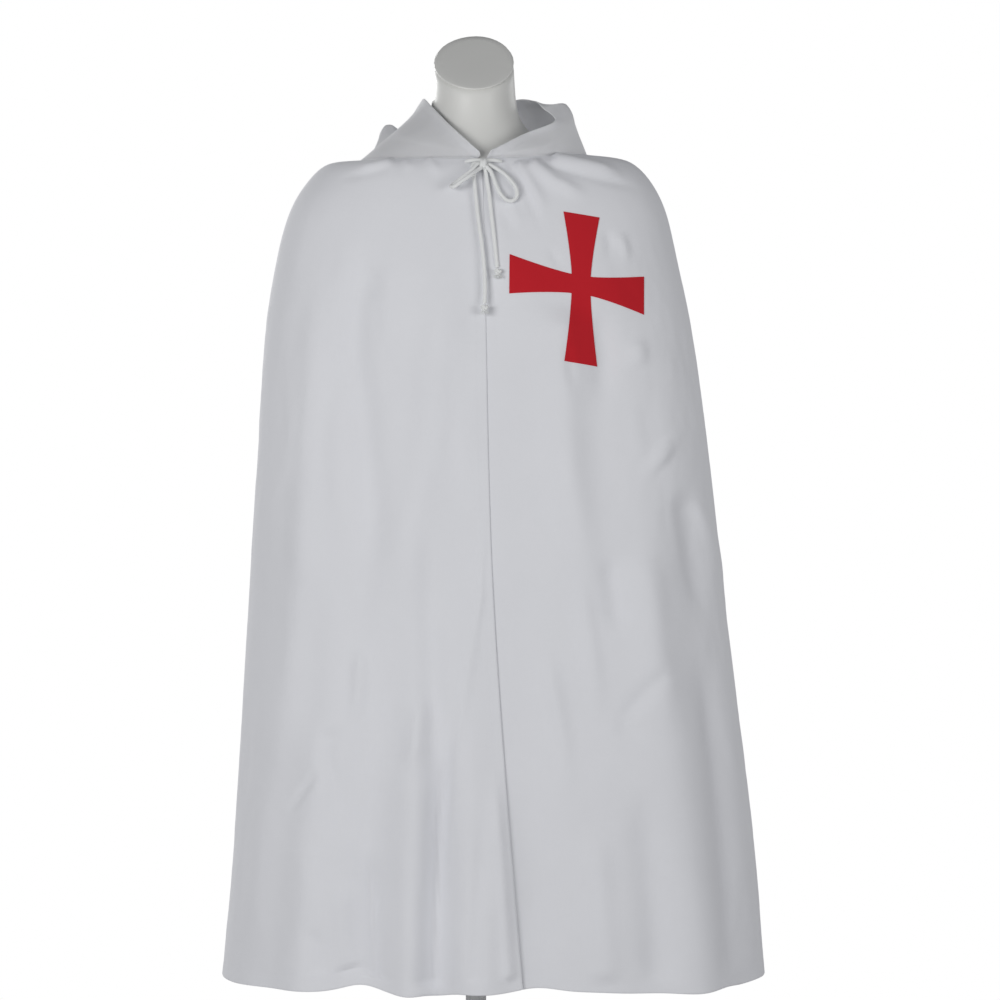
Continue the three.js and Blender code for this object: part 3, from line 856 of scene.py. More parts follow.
@dataclass
class Tie:
    """The neck tie: a bar along the neckline, a wrapped knot, two loops and two ends with stopper knots."""

    diameter: float = 5.5 * MM
    stretches: tuple[Stretch, ...] = (
        Stretch(
            "tie_end_long", 0.2,
            (
                (-0.0028, -0.1088, 1.34), (-0.0016, -0.1172, 1.3208), (0.0009, -0.124, 1.2947),
                (0.005, -0.131, 1.258), (0.009, -0.136, 1.2295), (0.0117, -0.1396, 1.204),
                (0.013, -0.1426, 1.1762), (0.0126, -0.1456, 1.1503),
            ),
            before=((0.0035, -0.1115, 1.3405),), stopper="stopper_long",
        ),
        Stretch(
            "tie_end_short", 0.139,
            (
                (0.0136, -0.1125, 1.3312), (0.0156, -0.1158, 1.3169), (0.0183, -0.1192, 1.3005),
                (0.0214, -0.1246, 1.2732), (0.0245, -0.1287, 1.2475), (0.0271, -0.1319, 1.2232),
                (0.0294, -0.135, 1.199),
            ),
            before=((0.0125, -0.1125, 1.3375),), stopper="stopper_short",
        ),
        Stretch(
            "tie_loop_right", 0.108,
            (
                (0.001, -0.1156, 1.3386), (-0.0045, -0.1208, 1.331), (-0.0165, -0.1199, 1.3218),
                (-0.0265, -0.1209, 1.3142), (-0.0321, -0.1265, 1.3087), (-0.0284, -0.1338, 1.3076),
                (-0.0177, -0.134, 1.3151), (-0.0057, -0.1298, 1.3236), (0.0032, -0.1204, 1.3314),
            ),
            before=((0.0065, -0.1135, 1.341),), after=((0.0085, -0.1165, 1.3355),),
        ),
        Stretch(
            "tie_loop_left", 0.13,
            (
                (0.0214, -0.1105, 1.338), (0.029, -0.1106, 1.3338), (0.0397, -0.1148, 1.3257),
                (0.0484, -0.1193, 1.3159), (0.0544, -0.1204, 1.3065), (0.0558, -0.1212, 1.2977),
                (0.0511, -0.123, 1.2904), (0.043, -0.1243, 1.29), (0.0343, -0.1234, 1.2981),
                (0.028, -0.12, 1.3104), (0.024, -0.117, 1.3215), (0.0196, -0.1155, 1.3313),
            ),
            before=((0.016, -0.112, 1.3405),), after=((0.0145, -0.1155, 1.3355),),
        ),
    )
    bar: tuple = (
        (-0.0135, -0.0985, 1.3447), (-0.0093, -0.1036, 1.3449), (-0.0019, -0.106, 1.3458),
        (0.0061, -0.1084, 1.3454), (0.0155, -0.1084, 1.3454), (0.0236, -0.106, 1.3459),
        (0.031, -0.1036, 1.345), (0.0352, -0.0985, 1.3448),
    )
    knot: tuple = (0.0115, -0.1129, 1.3395)
    wrap_cord: float = 5.0 * MM
    wrap_points: int = 70
    wrap_turns: tuple = (-0.3, 1.95)
    wrap_size: tuple = (4.4, 4.9, 5.4)
    core_cord: float = 5.4 * MM
    stoppers: tuple = (
        ("stopper_long", (0.0124, -0.149, 1.1439)),
        ("stopper_short", (0.0302, -0.1386, 1.1926)),
    )
    stopper_cord: float = 4.0 * MM
    stopper_points: int = 40
    stopper_size: tuple = (1.25, 1.5, 1.15)
    stopper_rise: float = 1.0 * MM
    frays: int = 34
    fray_start: float = -1.5 * MM
    fray_out: tuple = (1.5, 5.2)
    fray_drop: tuple = (4.5, 7.5)
    fray_curl: float = 0.8
    fray_turn: float = 2.4
    fray_spread: float = 2.1 * MM
    fray_thread: float = 0.55 * MM

    def stopper(self, name: str, middle: tuple) -> bpy.types.Object:
        """Builds an overhand knot in the cord with its frayed end below.

        Args:
            name: the piece's name.
            middle: the middle of the knot.

        Returns:
            The object.
        """
        t = np.linspace(0.0, 2 * math.pi, self.stopper_points, endpoint=False)
        wide, deep, tall = self.stopper_size
        x = (np.sin(t) + 2 * np.sin(2 * t)) * wide * MM
        y = -np.sin(3 * t) * deep * MM
        z = (np.cos(t) - 2 * np.cos(2 * t)) * tall * MM
        loop = np.stack([x, y, z], axis=1) + np.array(middle) + np.array([0, 0, self.stopper_rise])
        knot = BraidedTube(name, loop, self.stopper_cord, sides=16, step=0.5 * MM).build()
        chance = np.random.default_rng(len(name))
        threads = []
        for k in range(self.frays):
            turn, reach = k * self.fray_turn, self.fray_spread * math.sqrt((k + 0.5) / self.frays)
            root = np.array(middle) + [math.cos(turn) * reach, math.sin(turn) * reach, self.fray_start]
            out = np.array([math.cos(turn), math.sin(turn) * 0.6, 0.0]) * chance.uniform(*self.fray_out) * MM
            drop = np.array([0.0, 0.0, -chance.uniform(*self.fray_drop) * MM])
            curl = chance.uniform(-self.fray_curl, self.fray_curl, 3) * MM
            bend = root + out * 1.1 + drop * 0.7 + curl
            route = (root, root + out * 0.6 + drop * 0.35, bend, root + out + drop)
            tube = BraidedTube("thread", route, self.fray_thread, sides=5, step=1.2 * MM, relief=0.0)
            threads.append(tube.build())
        return joined(name, [knot, *threads])

    def knot_piece(self) -> bpy.types.Object:
        """Builds the bar along the neckline and the cord wrapped round it.

        Returns:
            The object.
        """
        bar = BraidedTube("tie_knot", self.bar, self.diameter).build()
        middle = np.array(self.knot)
        half, deep, tall = self.wrap_size
        t = np.linspace(*self.wrap_turns, self.wrap_points) * 2 * math.pi
        x = np.linspace(-half, half, self.wrap_points) * MM
        wrap = np.stack([x, -np.cos(t) * deep * MM, np.sin(t) * tall * MM], axis=1) + middle
        turns = BraidedTube("wrap", wrap, self.wrap_cord).build()
        through = ((-4.6 * MM, 1.5 * MM, -1.0 * MM), (0.0, 0.0, 0.4 * MM), (4.6 * MM, 1.5 * MM, -0.6 * MM))
        core = BraidedTube("core", [middle + place for place in through], self.core_cord).build()
        return joined("tie_knot_wrapped", [bar, turns, core])

    def build(self, finish: bpy.types.Material) -> None:
        """Args:
            finish: the cord's material.
        """
        for name, middle in self.stoppers:
            dress(self.stopper(f"{name}_knot", middle), finish, Slot.CORD, name)
        dress(self.knot_piece(), finish, Slot.CORD, "tie_knot")
        for part in self.stretches:
            route = (*part.before, *part.route, *part.after)
            tube = BraidedTube(f"{part.node}_cord", route, self.diameter)
            cord = dress(tube.build(), finish, Slot.CORD, part.node)
            line = tube.centreline().tolist()


# Cloth


@dataclass(frozen=True)
class Crease:
    """A fold line seen from the front: a ridge, or a hollow where out is negative. In millimetres."""

    name: str
    width: float
    out: float
    rise: float
    fall: float
    places: tuple[float, ...]

    def height(self, x: np.ndarray, z: np.ndarray) -> np.ndarray:
        """Height of the fold at places.

        Args:
            x: the places' X in millimetres.
            z: the places' Z.

        Returns:
            The heights in millimetres.
        """
        line = np.array(self.places, float).reshape(-1, 2)
        steps = np.linalg.norm(np.diff(line, axis=0), axis=1)
        run = run_along(line)
        best, share = np.full(x.shape, math.inf), np.zeros(x.shape)
        for k, length in enumerate(steps):
            dx, dz = (line[k + 1] - line[k]) / length
            s = np.clip((x - line[k, 0]) * dx + (z - line[k, 1]) * dz, 0.0, length)
            away = np.hypot(x - line[k, 0] - s * dx, z - line[k, 1] - s * dz)
            near = away < best
            best = np.where(near, away, best)
            share = np.where(near, (run[k] + s) / run[-1], share)
        taper = smooth(0.0, self.rise, share) * smooth(0.0, self.fall, 1.0 - share)
        return self.out * taper * np.exp(-((best / self.width) ** 2))


@dataclass
class ClothGrid:
    """A sheet of cloth as a grid of points, with its wall, rounded edges and a map along its threads."""

    name: str
    points: np.ndarray
    normals: np.ndarray
    wall: float = 0.8 * MM
    hem: float = 15.0 * MM
    hem_wall: float = 0.45 * MM
    hemmed: tuple[Edge, ...] = ()
    hem_rise: float = 0.12 * MM
    groove: float = 0.35 * MM
    groove_inside: float = 0.4 * MM
    groove_width: float = 0.9 * MM
    hem_inset: float = 2.0 * MM
    rim_round: float = 0.4
    inside_shift: tuple = (3.0, 0.0)

    def map(self) -> np.ndarray:
        """Place of each point along the threads, in metres from the middle of the top edge.

        Returns:
            (rows, columns, 2) places.
        """
        steps = np.linalg.norm(np.diff(self.points, axis=1), axis=2)
        across = np.concatenate([np.zeros((len(steps), 1)), np.cumsum(steps, axis=1)], axis=1)
        across -= across[:, [across.shape[1] // 2]]
        falls = np.linalg.norm(np.diff(self.points, axis=0), axis=2)
        down = np.concatenate([np.zeros((1, falls.shape[1])), np.cumsum(falls, axis=0)], axis=0)
        return np.stack([across, down], axis=2)

    def distance(self, edge: Edge) -> np.ndarray:
        """Distance of each point from an edge along the cloth.

        Args:
            edge: the edge.

        Returns:
            (rows, columns) distances in metres.
        """
        place = self.map()
        if edge is Edge.TOP:
            return place[..., 1]
        if edge is Edge.BOTTOM:
            return place[-1:, :, 1] - place[..., 1]
        if edge is Edge.FIRST:
            return place[..., 0] - place[:, :1, 0]
        return place[:, -1:, 0] - place[..., 0]

    def hems(self) -> tuple[np.ndarray, np.ndarray]:
        """How much of a folded-in hem and of its stitches' groove lies at each point.

        Returns:
            Two (rows, columns) arrays of shares.
        """
        fold = np.zeros(self.points.shape[:2])
        seam = np.zeros(self.points.shape[:2])
        for edge in self.hemmed:
            away = self.distance(edge)
            spacing = np.abs(np.gradient(away, axis=0 if edge in (Edge.TOP, Edge.BOTTOM) else 1))
            width = np.maximum(self.groove_width, spacing * 0.9)
            fold = np.maximum(fold, 1.0 - smooth(self.hem, self.hem + self.hem_inset, away))
            dent = np.exp(-(((away - self.hem + self.hem_inset) / width) ** 2))
            seam = np.maximum(seam, dent * (self.groove_width / width) ** 3)
        return fold, seam

    def build(self) -> bpy.types.Object:
        """Builds the closed wall, thicker where a hem is folded in.

        Returns:
            The object.
        """
        rows, columns = self.points.shape[:2]
        count = rows * columns
        fold, seam = self.hems()
        outer = self.points + self.normals * (fold * self.hem_rise - seam * self.groove)[..., None]
        wall = self.wall + fold * self.hem_wall - seam * self.groove_inside
        inner = outer - self.normals * wall[..., None]
        quads = grid_quads(rows, columns)
        number = np.arange(count).reshape(rows, columns)
        rim = np.concatenate([number[0, :-1], number[:-1, -1], number[-1, :0:-1], number[:0:-1, 0]])
        beside = np.concatenate([number[1, :-1], number[:-1, -2], number[-2, :0:-1], number[:0:-1, 1]])
        flat_out, flat_in = outer.reshape(-1, 3), inner.reshape(-1, 3)
        inward = unit(self.points.reshape(-1, 3)[beside] - flat_out[rim])
        normal = self.normals.reshape(-1, 3)[rim]
        inward -= normal * np.sum(inward * normal, axis=1, keepdims=True)
        middle = (flat_out[rim] + flat_in[rim]) / 2
        middle = middle - unit(inward) * (wall.reshape(-1)[rim] * self.rim_round)[:, None]
        ring = 2 * count + np.arange(len(rim))
        after = np.roll(ring, -1)
        low, next_rim = rim + count, np.roll(rim, -1)
        edge_out = np.stack([rim, ring, after, next_rim], axis=1)
        edge_in = np.stack([ring, low, next_rim + count, after], axis=1)
        faces = np.concatenate([quads, quads[:, [0, 3, 2, 1]] + count, edge_out, edge_in])
        piece = mesh_object(self.name, np.concatenate([flat_out, flat_in, middle]), faces)
        places = self.map().reshape(-1, 2)
        map_cloth(piece, np.concatenate([places, places + self.inside_shift, places[rim]]))
        return piece

    def line(self, edge: Edge, inset: float) -> tuple[np.ndarray, np.ndarray]:
        """Points and normals of a line beside an edge.

        Args:
            edge: the edge.
            inset: the line's distance from it, in metres.

        Returns:
            The points and the normals.
        """
        away = self.distance(edge)
        turned = edge in (Edge.FIRST, Edge.LAST)
        points, normals = self.points, self.normals
        if turned:
            away, points, normals = away.T, points.transpose(1, 0, 2), normals.transpose(1, 0, 2)
        if edge in (Edge.BOTTOM, Edge.LAST):
            away, points, normals = away[::-1], points[::-1], normals[::-1]
        across = range(points.shape[1])
        found = np.array([read_along(away[:, k], points[:, k], inset) for k in across])
        upright = np.array([read_along(away[:, k], normals[:, k], inset) for k in across])
        return found, unit(upright)


@dataclass(frozen=True)
class Stitching:
    """Rows of small raised stitches, each a short tube whose ends dip into the cloth."""

    pitch: float = 3.2 * MM
    length: float = 2.5 * MM
    thread: float = 0.5 * MM
    sides: int = 5
    stations: tuple = (0.0, 0.18, 0.82, 1.0)
    heights: tuple = (-0.45, 0.0, 0.0, -0.45)
    widths: tuple = (0.45, 1.0, 1.0, 0.45)

    def build(self, name: str, lines: Iterable[tuple[np.ndarray, np.ndarray]]) -> bpy.types.Object:
        """Builds all stitches along some lines as one piece.

        Args:
            name: the piece's name.
            lines: (points, normals) of each line.

        Returns:
            The object.
        """
        points, faces = [], []
        rings, sides = len(self.stations), self.sides
        angle = np.linspace(0.0, 2 * math.pi, sides, endpoint=False)
        for path, upright in lines:
            run = run_along(path)
            for start in np.arange(0.0, run[-1] - self.pitch, self.pitch):
                at = start + np.array(self.stations) * self.length
                middle, normal = read_along(run, path, at), unit(read_along(run, upright, at))
                middle += normal * (np.array(self.heights) * self.thread)[:, None]
                side = unit(np.cross(normal, unit(middle[-1] - middle[0])))
                width = np.array(self.widths) * self.thread / 2
                ring = side[:, None] * np.cos(angle)[:, None] + normal[:, None] * np.sin(angle)[:, None]
                first = len(points) * rings * sides
                points.append((middle[:, None] + ring * width[:, None, None]).reshape(-1, 3))
                faces += tube_quads(rings, sides, first)
                faces.append(range(first + sides - 1, first - 1, -1))
                faces.append(range(first + (rings - 1) * sides, first + rings * sides))
        flat = np.concatenate(points)
        piece = mesh_object(name, flat, faces)
        map_cloth(piece, flat[:, [0, 2]])
        return piece


# Name, width, height, shares over which it rises and falls, then X and Z of its points from the front
CREASE_ROWS = (
    ("hollow beside the tie", 5, -3.2, 0.1, 0.5, 44, 1347, 57, 1322, 72, 1296, 81, 1271, 92, 1237),
    ("ridge beside the tie", 8, 5, 0.1, 0.5, 55, 1347, 69, 1322, 85, 1294, 96, 1267),
    ("ridge towards the cross", 9, 7, 0.1, 0.4, 71, 1347, 87, 1333, 108, 1317, 132, 1306, 157, 1298),
    ("hollow to the shoulder", 5, -3.2, 0.15, 0.3, 84, 1350, 108, 1338, 149, 1327, 190, 1319, 226, 1312),
    ("ridge to the shoulder", 9, 8, 0.1, 0.4, 100, 1352, 134, 1344, 172, 1336, 209, 1325),
    ("hollow on the other shoulder", 5, -2.4, 0.2, 0.4, -110, 1341, -134, 1333, -161, 1328, -189, 1323),
    ("ridge on the other shoulder", 8, 5, 0.2, 0.4, -107, 1348, -136, 1340, -170, 1335),
    ("gather at the neckline", 6, 3.5, 0.1, 0.6, -64, 1351, -56, 1338, -42, 1322),
    ("second gather at the neckline", 6, 2.6, 0.1, 0.6, -96, 1350, -85, 1330),
    ("short ridge under the bow", 5, 2, 0.3, 0.5, 44, 1291, 54, 1275, 68, 1248),
    ("short hollow under the bow", 5, -2, 0.3, 0.5, 33, 1284, 44, 1261, 52, 1237),
    ("hollow beside the cross arm", 4, -3, 0.3, 0.5, 97, 1228, 108, 1213, 117, 1194),
    ("hollow right of the cross", 6, -3.2, 0.3, 0.5, 175, 1255, 181, 1232, 178, 1209),
    ("ridge right of the cross", 6, 3.5, 0.3, 0.5, 192, 1250, 200, 1228, 204, 1204),
    (
        "edge under the cross", 26, 12, 0.1, 0.4,
        114, 1157, 114, 1089, 116, 1023, 121, 929, 135, 836, 147, 744,
    ),
    ("hollow under the cross", 6, -3.2, 0.3, 0.5, 121, 1103, 126, 1060, 132, 1025),
    ("dome on the chest", 13, 5.2, 0.4, 0.4, 213, 1111, 221, 1064),
    ("hollow in the arm", 16, -7.2, 0.3, 0.5, 164, 1157, 175, 1077, 166, 996),
    ("elbow bulge", 26, 6, 0.4, 0.4, 237, 959, 259, 941),
    ("hollow under the elbow", 17, -7, 0.15, 0.5, 275, 906, 285, 869, 295, 809, 308, 701),
    ("ridge beside the elbow", 9, 3.5, 0.2, 0.4, 293, 892, 311, 860, 325, 819, 336, 753),
    ("ridge under the elbow", 22, 6.5, 0.2, 0.4, 217, 836, 228, 783, 235, 690, 257, 570),
    ("hollow inside the elbow ridge", 15, -7.2, 0.3, 0.4, 177, 823, 184, 770, 195, 704),
    ("slanting hollow", 10, -4.2, 0.2, 0.4, 252, 665, 227, 637, 205, 611, 184, 585),
    ("slanting hollow, lower leg", 8, -2.4, 0.3, 0.5, 184, 591, 205, 582, 227, 578),
    ("middle ridge of the under front", 11, 6, 0.3, 0.5, 134, 797, 144, 744, 155, 678, 165, 586),
    ("inner ridge of the under front", 11, 5.4, 0.3, 0.5, 94, 705, 103, 639, 116, 573, 125, 495),
    ("low hollow of the under front", 20, -6, 0.3, 0.1, 218, 519, 231, 414, 238, 322, 241, 250),
    ("low ridge of the under front", 18, 6, 0.3, 0.1, 154, 468, 164, 364, 172, 253),
    ("hollow at the side", 15, -7, 0.3, 0.1, 302, 701, 319, 566, 332, 419, 341, 246),
    (
        "upper hollow of the over front", 24, -11.2, 0.15, 0.3,
        -111, 1224, -146, 1200, -157, 1157, -159, 1090, -148, 969, -138, 863, -141, 744,
    ),
    (
        "upper ridge of the over front", 30, 9, 0.2, 0.4,
        -31, 1223, -47, 1116, -60, 996, -80, 863, -94, 744, -106, 652,
    ),
    (
        "outer ridge of the over front", 24, 7.5, 0.2, 0.4,
        -212, 1226, -217, 1104, -227, 970, -234, 809, -247, 623, -264, 438,
    ),
    ("short ridge of the over front", 9, 6.4, 0.3, 0.4, -150, 704, -153, 638, -160, 588),
    ("lower ridge of the over front", 13, 6.8, 0.3, 0.4, -67, 639, -75, 573, -85, 521),
    ("bent hollow", 11, -5, 0.2, 0.5, -162, 579, -192, 572, -194, 551, -183, 507, -172, 442),
    ("slanting hollow of the over front", 5, -4.8, 0.3, 0.4, -202, 532, -224, 503, -247, 470),
    ("deep hollow beside the band", 15, -12, 0.35, 0.05, -25, 639, -41, 521, -50, 430, -56, 339, -58, 249),
    ("band edge", 5, 2.4, 0.2, 0.05, 12, 890, 7, 757, -11, 648, -24, 557, -34, 456, -43, 359, -49, 256),
    ("hollow in the band", 8, -4.8, 0.4, 0.05, 12, 495, 7, 391, -1, 256),
    ("ridge in the band", 9, 5.6, 0.3, 0.05, 25, 547, 32, 443, 40, 340, 46, 256),
    ("low hollow of the over front", 12, -7.8, 0.3, 0.05, -143, 429, -138, 351, -132, 255),
    ("low ridge of the over front", 14, 7.2, 0.3, 0.05, -178, 389, -172, 325, -166, 267),
    ("second low hollow", 10, -4, 0.3, 0.1, -217, 329, -204, 304, -201, 265),
    ("packing crease", 1.6, 0.5, 0.2, 0.2, 101, 427, 218, 425, 332, 417),
    ("upper packing crease", 1.5, 0.4, 0.3, 0.3, 226, 499, 273, 495, 324, 494),
    ("left packing crease", 1.6, 0.3, 0.3, 0.3, -301, 420, -191, 424, -72, 428),
)


@dataclass
class MantleShape:
    """The mantle's surface on the form: rings, long folds, and the fronts' fold lines. In millimetres."""

    rings: Table = Table(
        (
            "down", "left_z", "right_z", "front_z", "back_z", "left", "right", "front", "back", "square",
            "over", "under",
        ),
        (
            (0.0, 1354, 1363, 1349, 1386, 160, 152, 97, 94, 2.0, 4, 15),
            (0.037, 1350, 1355, 1333, 1370, 203, 207, 106, 108, 2.2, 8, 8),
            (0.062, 1331, 1334, 1312, 1346, 227, 234, 113, 118, 2.3, 10, 0),
            (0.104, 1290, 1292, 1270, 1302, 253, 258, 122, 128, 2.4, 11, -8),
            (0.158, 1230, 1230, 1214, 1238, 271, 274, 131, 138, 2.4, 12, -12),
            (0.249, 1124, 1124, 1116, 1128, 288, 296, 141, 150, 2.4, 14, -12),
            (0.39, 959, 959, 958, 962, 299, 318, 155, 166, 2.4, 17, -10),
            (0.525, 800, 800, 800, 804, 308, 336, 170, 184, 2.4, 22, -6),
            (0.683, 615, 615, 618, 620, 319, 358, 188, 205, 2.4, 33, 4),
            (0.859, 408, 408, 412, 412, 333, 383, 208, 228, 2.4, 49, 18),
            (1.0, 242, 244, 246, 246, 348, 396, 224, 246, 2.4, 63, 30),
        ),
    )
    folds: Table = Table(
        ("angle", "lean", "spread", "top", "out", "dip"),
        (
            (-12, 4, 8, 0.3, 26, 6), (-34, 8, 8, 0.22, 22, 5), (-57, 6, 8, 0.34, 20, 5),
            (14, -3, 8, 0.26, 24, 6), (37, -8, 8, 0.3, 24, 5), (60, -6, 8, 0.24, 18, 4),
            (-124, -6, 8, 0.5, 8, 0), (-142, -6, 7, 0.42, 14, 2), (-155, -3, 5, 0.5, -10, -9),
            (-166, 0, 4.5, 0.42, 16, 6), (-172.5, 5, 2.6, 0.35, -11, 3), (-181, 6, 5.5, 0.5, 14, 3),
            (168, 3, 5, 0.45, -6, -6), (150, 4, 7, 0.35, 4, 3), (136, 6, 8, 0.3, 16, 8),
            (120, 8, 7, 0.3, -6, 3),
        ),
    )
    creases: tuple[Crease, ...] = tuple(Crease(*row[:5], row[5:]) for row in CREASE_ROWS)
    over_lift: tuple = (1.1, 4.2, 4.0, 20.0)
    over_start: float = 0.03
    under_dip: tuple = (0.3, 5.0, 22.0, 0.05, 0.3)
    shared_angles: tuple = (140.0, 168.0)
    step_round: float = 0.25
    step_down: float = 0.002
    per_degree: float = 4.4
    length: float = 1150.0
    bend: Ripple = Ripple(5, (90.0, 140.0), 26.0)
    long_wave: Ripple = Ripple(3, (44.0, 210.0))
    cross_wave: Ripple = Ripple(6, (34.0, 60.0), 0.3)
    crumple: Ripple = Ripple(8, (15.0, 34.0), 0.35)
    fine_crumple: Ripple = Ripple(9, (8.0, 11.0), 0.14)
    waves_from: tuple = (0.06, 0.26)
    wave_height: tuple = (2.6, 1.6)
    crumple_height: tuple = (0.3, 0.6)
    side_range: tuple = (0.72, 0.96)
    side_calm: float = 0.75

    def ring(self, down: np.ndarray) -> dict[str, np.ndarray]:
        """All columns of the rings at shares of the way down the cloth."""
        return self.rings.all_along("down", down)

    def bare(self, degrees: np.ndarray, down: np.ndarray) -> np.ndarray:
        """Points of the mantle without folds.

        Args:
            degrees: angles from the middle of the back, 90 at +X.
            down: shares of the way down.

        Returns:
            Points in millimetres.
        """
        degrees, down = np.broadcast_arrays(np.asarray(degrees, float), np.asarray(down, float))
        ring = self.ring(down)
        sin, cos = np.sin(np.radians(degrees)), np.cos(np.radians(degrees))
        wide = np.where(sin < 0, ring["left"], ring["right"])
        deep = np.where(cos < 0, ring["front"], ring["back"])
        turn = np.arctan2(wide * sin, deep * cos)
        ux, uy = np.sin(turn), np.cos(turn)
        power = ring["square"]
        reach = (np.abs(ux / wide) ** power + np.abs(uy / deep) ** power) ** (-1 / power)
        side = np.where(sin < 0, ring["left_z"], ring["right_z"])
        z = side * sin**2 + np.where(cos < 0, ring["front_z"], ring["back_z"]) * cos**2
        return np.stack([ux * reach, uy * reach, z], axis=-1)

    def normal(self, surface: Callable, degrees: np.ndarray, down: np.ndarray) -> np.ndarray:
        """Outward normals of a surface.

        Args:
            surface: a function of degrees and down.
            degrees: angles.
            down: shares of the way down.

        Returns:
            Unit normals.
        """
        across = surface(degrees + self.step_round, down) - surface(degrees - self.step_round, down)
        below = surface(degrees, down + self.step_down) - surface(degrees, down - self.step_down)
        return unit(np.cross(across, below))

    def fold(self, degrees: np.ndarray, down: np.ndarray, column: str, power: float) -> np.ndarray:
        """Sum of the long folds.

        Args:
            degrees: angles.
            down: shares of the way down.
            column: "out" or "dip".
            power: how late the folds grow.

        Returns:
            The sum in millimetres.
        """
        total = np.zeros(np.broadcast(degrees, down).shape)
        for fold in self.folds.records():
            grown = smooth(fold["top"], 1.0, down)
            middle = fold["angle"] + fold["lean"] * (1 - grown)
            away = np.abs((degrees - middle + 540) % 360 - 180)
            total = total + fold[column] * grown**power * np.exp(-((away / fold["spread"]) ** 2))
        return total

    def edge(self, down: np.ndarray, layer: Layer) -> np.ndarray:
        """Angle of the edge of a front.

        Args:
            down: shares of the way down.
            layer: which of the two fronts.

        Returns:
            Degrees from the middle of the back.
        """
        ring = self.ring(down)
        x = ring[layer.value]
        return 180 - np.degrees(np.arctan(x / np.where(x < 0, ring["left"], ring["right"])))

    def lift(self, degrees: np.ndarray, down: np.ndarray, layer: Layer) -> np.ndarray:
        """How far a front stands off or dips under near its edge.

        Args:
            degrees: angles.
            down: shares of the way down.
            layer: where the panel lies.

        Returns:
            The height in millimetres.
        """
        if layer is Layer.OVER:
            neck, hem, near, far = self.over_lift
            away = degrees - (self.edge(down, Layer.OVER) - 360)
            height = neck * smooth(0.0, self.over_start, down) + (hem - neck) * down**3
            return height * (1 - smooth(near, far, away))
        if layer is Layer.UNDER:
            depth, near, far, start, full = self.under_dip
            away = self.edge(down, Layer.UNDER) - degrees
            return -depth * smooth(start, full, down) * (1 - smooth(near, far, away))
        return np.zeros(np.broadcast(degrees, down).shape)

    def wrinkles(self, degrees: np.ndarray, down: np.ndarray, p: np.ndarray) -> np.ndarray:
        """Fold lines and fine unevenness of the cloth.

        Args:
            degrees: angles.
            down: shares of the way down.
            p: the bare points.

        Returns:
            The height in millimetres.
        """
        x, z = p[..., 0], p[..., 2]
        out = np.zeros(x.shape)
        front = p[..., 1] < 0
        for crease in self.creases:
            out = out + np.where(front, crease.height(x, z), 0.0)
        shared = smooth(*self.shared_angles, degrees)
        own, other = self.unevenness(degrees, down), self.unevenness(degrees - 360.0, down)
        return out + own * (1 - shared) + other * shared

    def unevenness(self, degrees: np.ndarray, down: np.ndarray) -> np.ndarray:
        """Long soft waves and fine crumple of the cloth, not tied to the fold lines.

        Args:
            degrees: angles, counted on beyond 180 where they should run on without a break.
            down: shares of the way down.

        Returns:
            The height in millimetres.
        """
        free = smooth(*self.waves_from, down)
        u, v = degrees * self.per_degree, down * self.length
        bent = u + self.bend.at(u, v)
        soft = self.long_wave.at(bent, v) + self.cross_wave.at(bent, v + 0.5 * u)
        fine = self.crumple.at(bent, v) + self.fine_crumple.at(u, v)
        soft = soft * (1 - self.side_calm * smooth(*self.side_range, np.abs(np.sin(np.radians(degrees)))))
        neck, more = self.wave_height
        bound, loose = self.crumple_height
        return soft * free * (neck + more * down) + fine * (bound + loose * free)

    def surface(self, layer: Layer) -> Callable:
        """The finished outer face of a panel.

        Args:
            layer: where the panel lies.

        Returns:
            A function of degrees and down that gives points in millimetres.
        """

        def points(degrees: np.ndarray, down: np.ndarray) -> np.ndarray:
            """Points of the panel.

            Args:
                degrees: angles from the middle of the back.
                down: shares of the way down.

            Returns:
                Points in millimetres.
            """
            degrees, down = np.broadcast_arrays(np.asarray(degrees, float), np.asarray(down, float))
            p = self.bare(degrees, down)
            out = self.fold(degrees, down, "out", 1.0) + self.lift(degrees, down, layer)
            out = out + self.wrinkles(degrees, down, p)
            p = p + self.normal(self.bare, degrees, down) * out[..., None]
            p[..., 2] -= self.fold(degrees, down, "dip", 6.0)
            return p

        return points


def spread(total: float, border: float, fine: float, coarse: float) -> np.ndarray:
    """Shares from 0 to 1 that are closer together near both ends.

    Args:
        total: the whole length.
        border: length of the dense stretch at each end.
        fine: spacing there.
        coarse: spacing between.

    Returns:
        The shares.
    """
    ends = np.arange(0.0, border - fine / 2, fine)
    between = np.linspace(border, total - border, max(2, round((total - 2 * border) / coarse)))
    return np.concatenate([ends, between, total - ends[::-1]]) / total


@dataclass(frozen=True)
class Panel:
    """One cut panel: its CAD node, layer, hemmed side, grid width, flat size and area, in metres."""

    node: str
    layer: Layer
    hemmed: tuple[Edge, ...]
    width: float
    flat: tuple[float, float]
    area: float


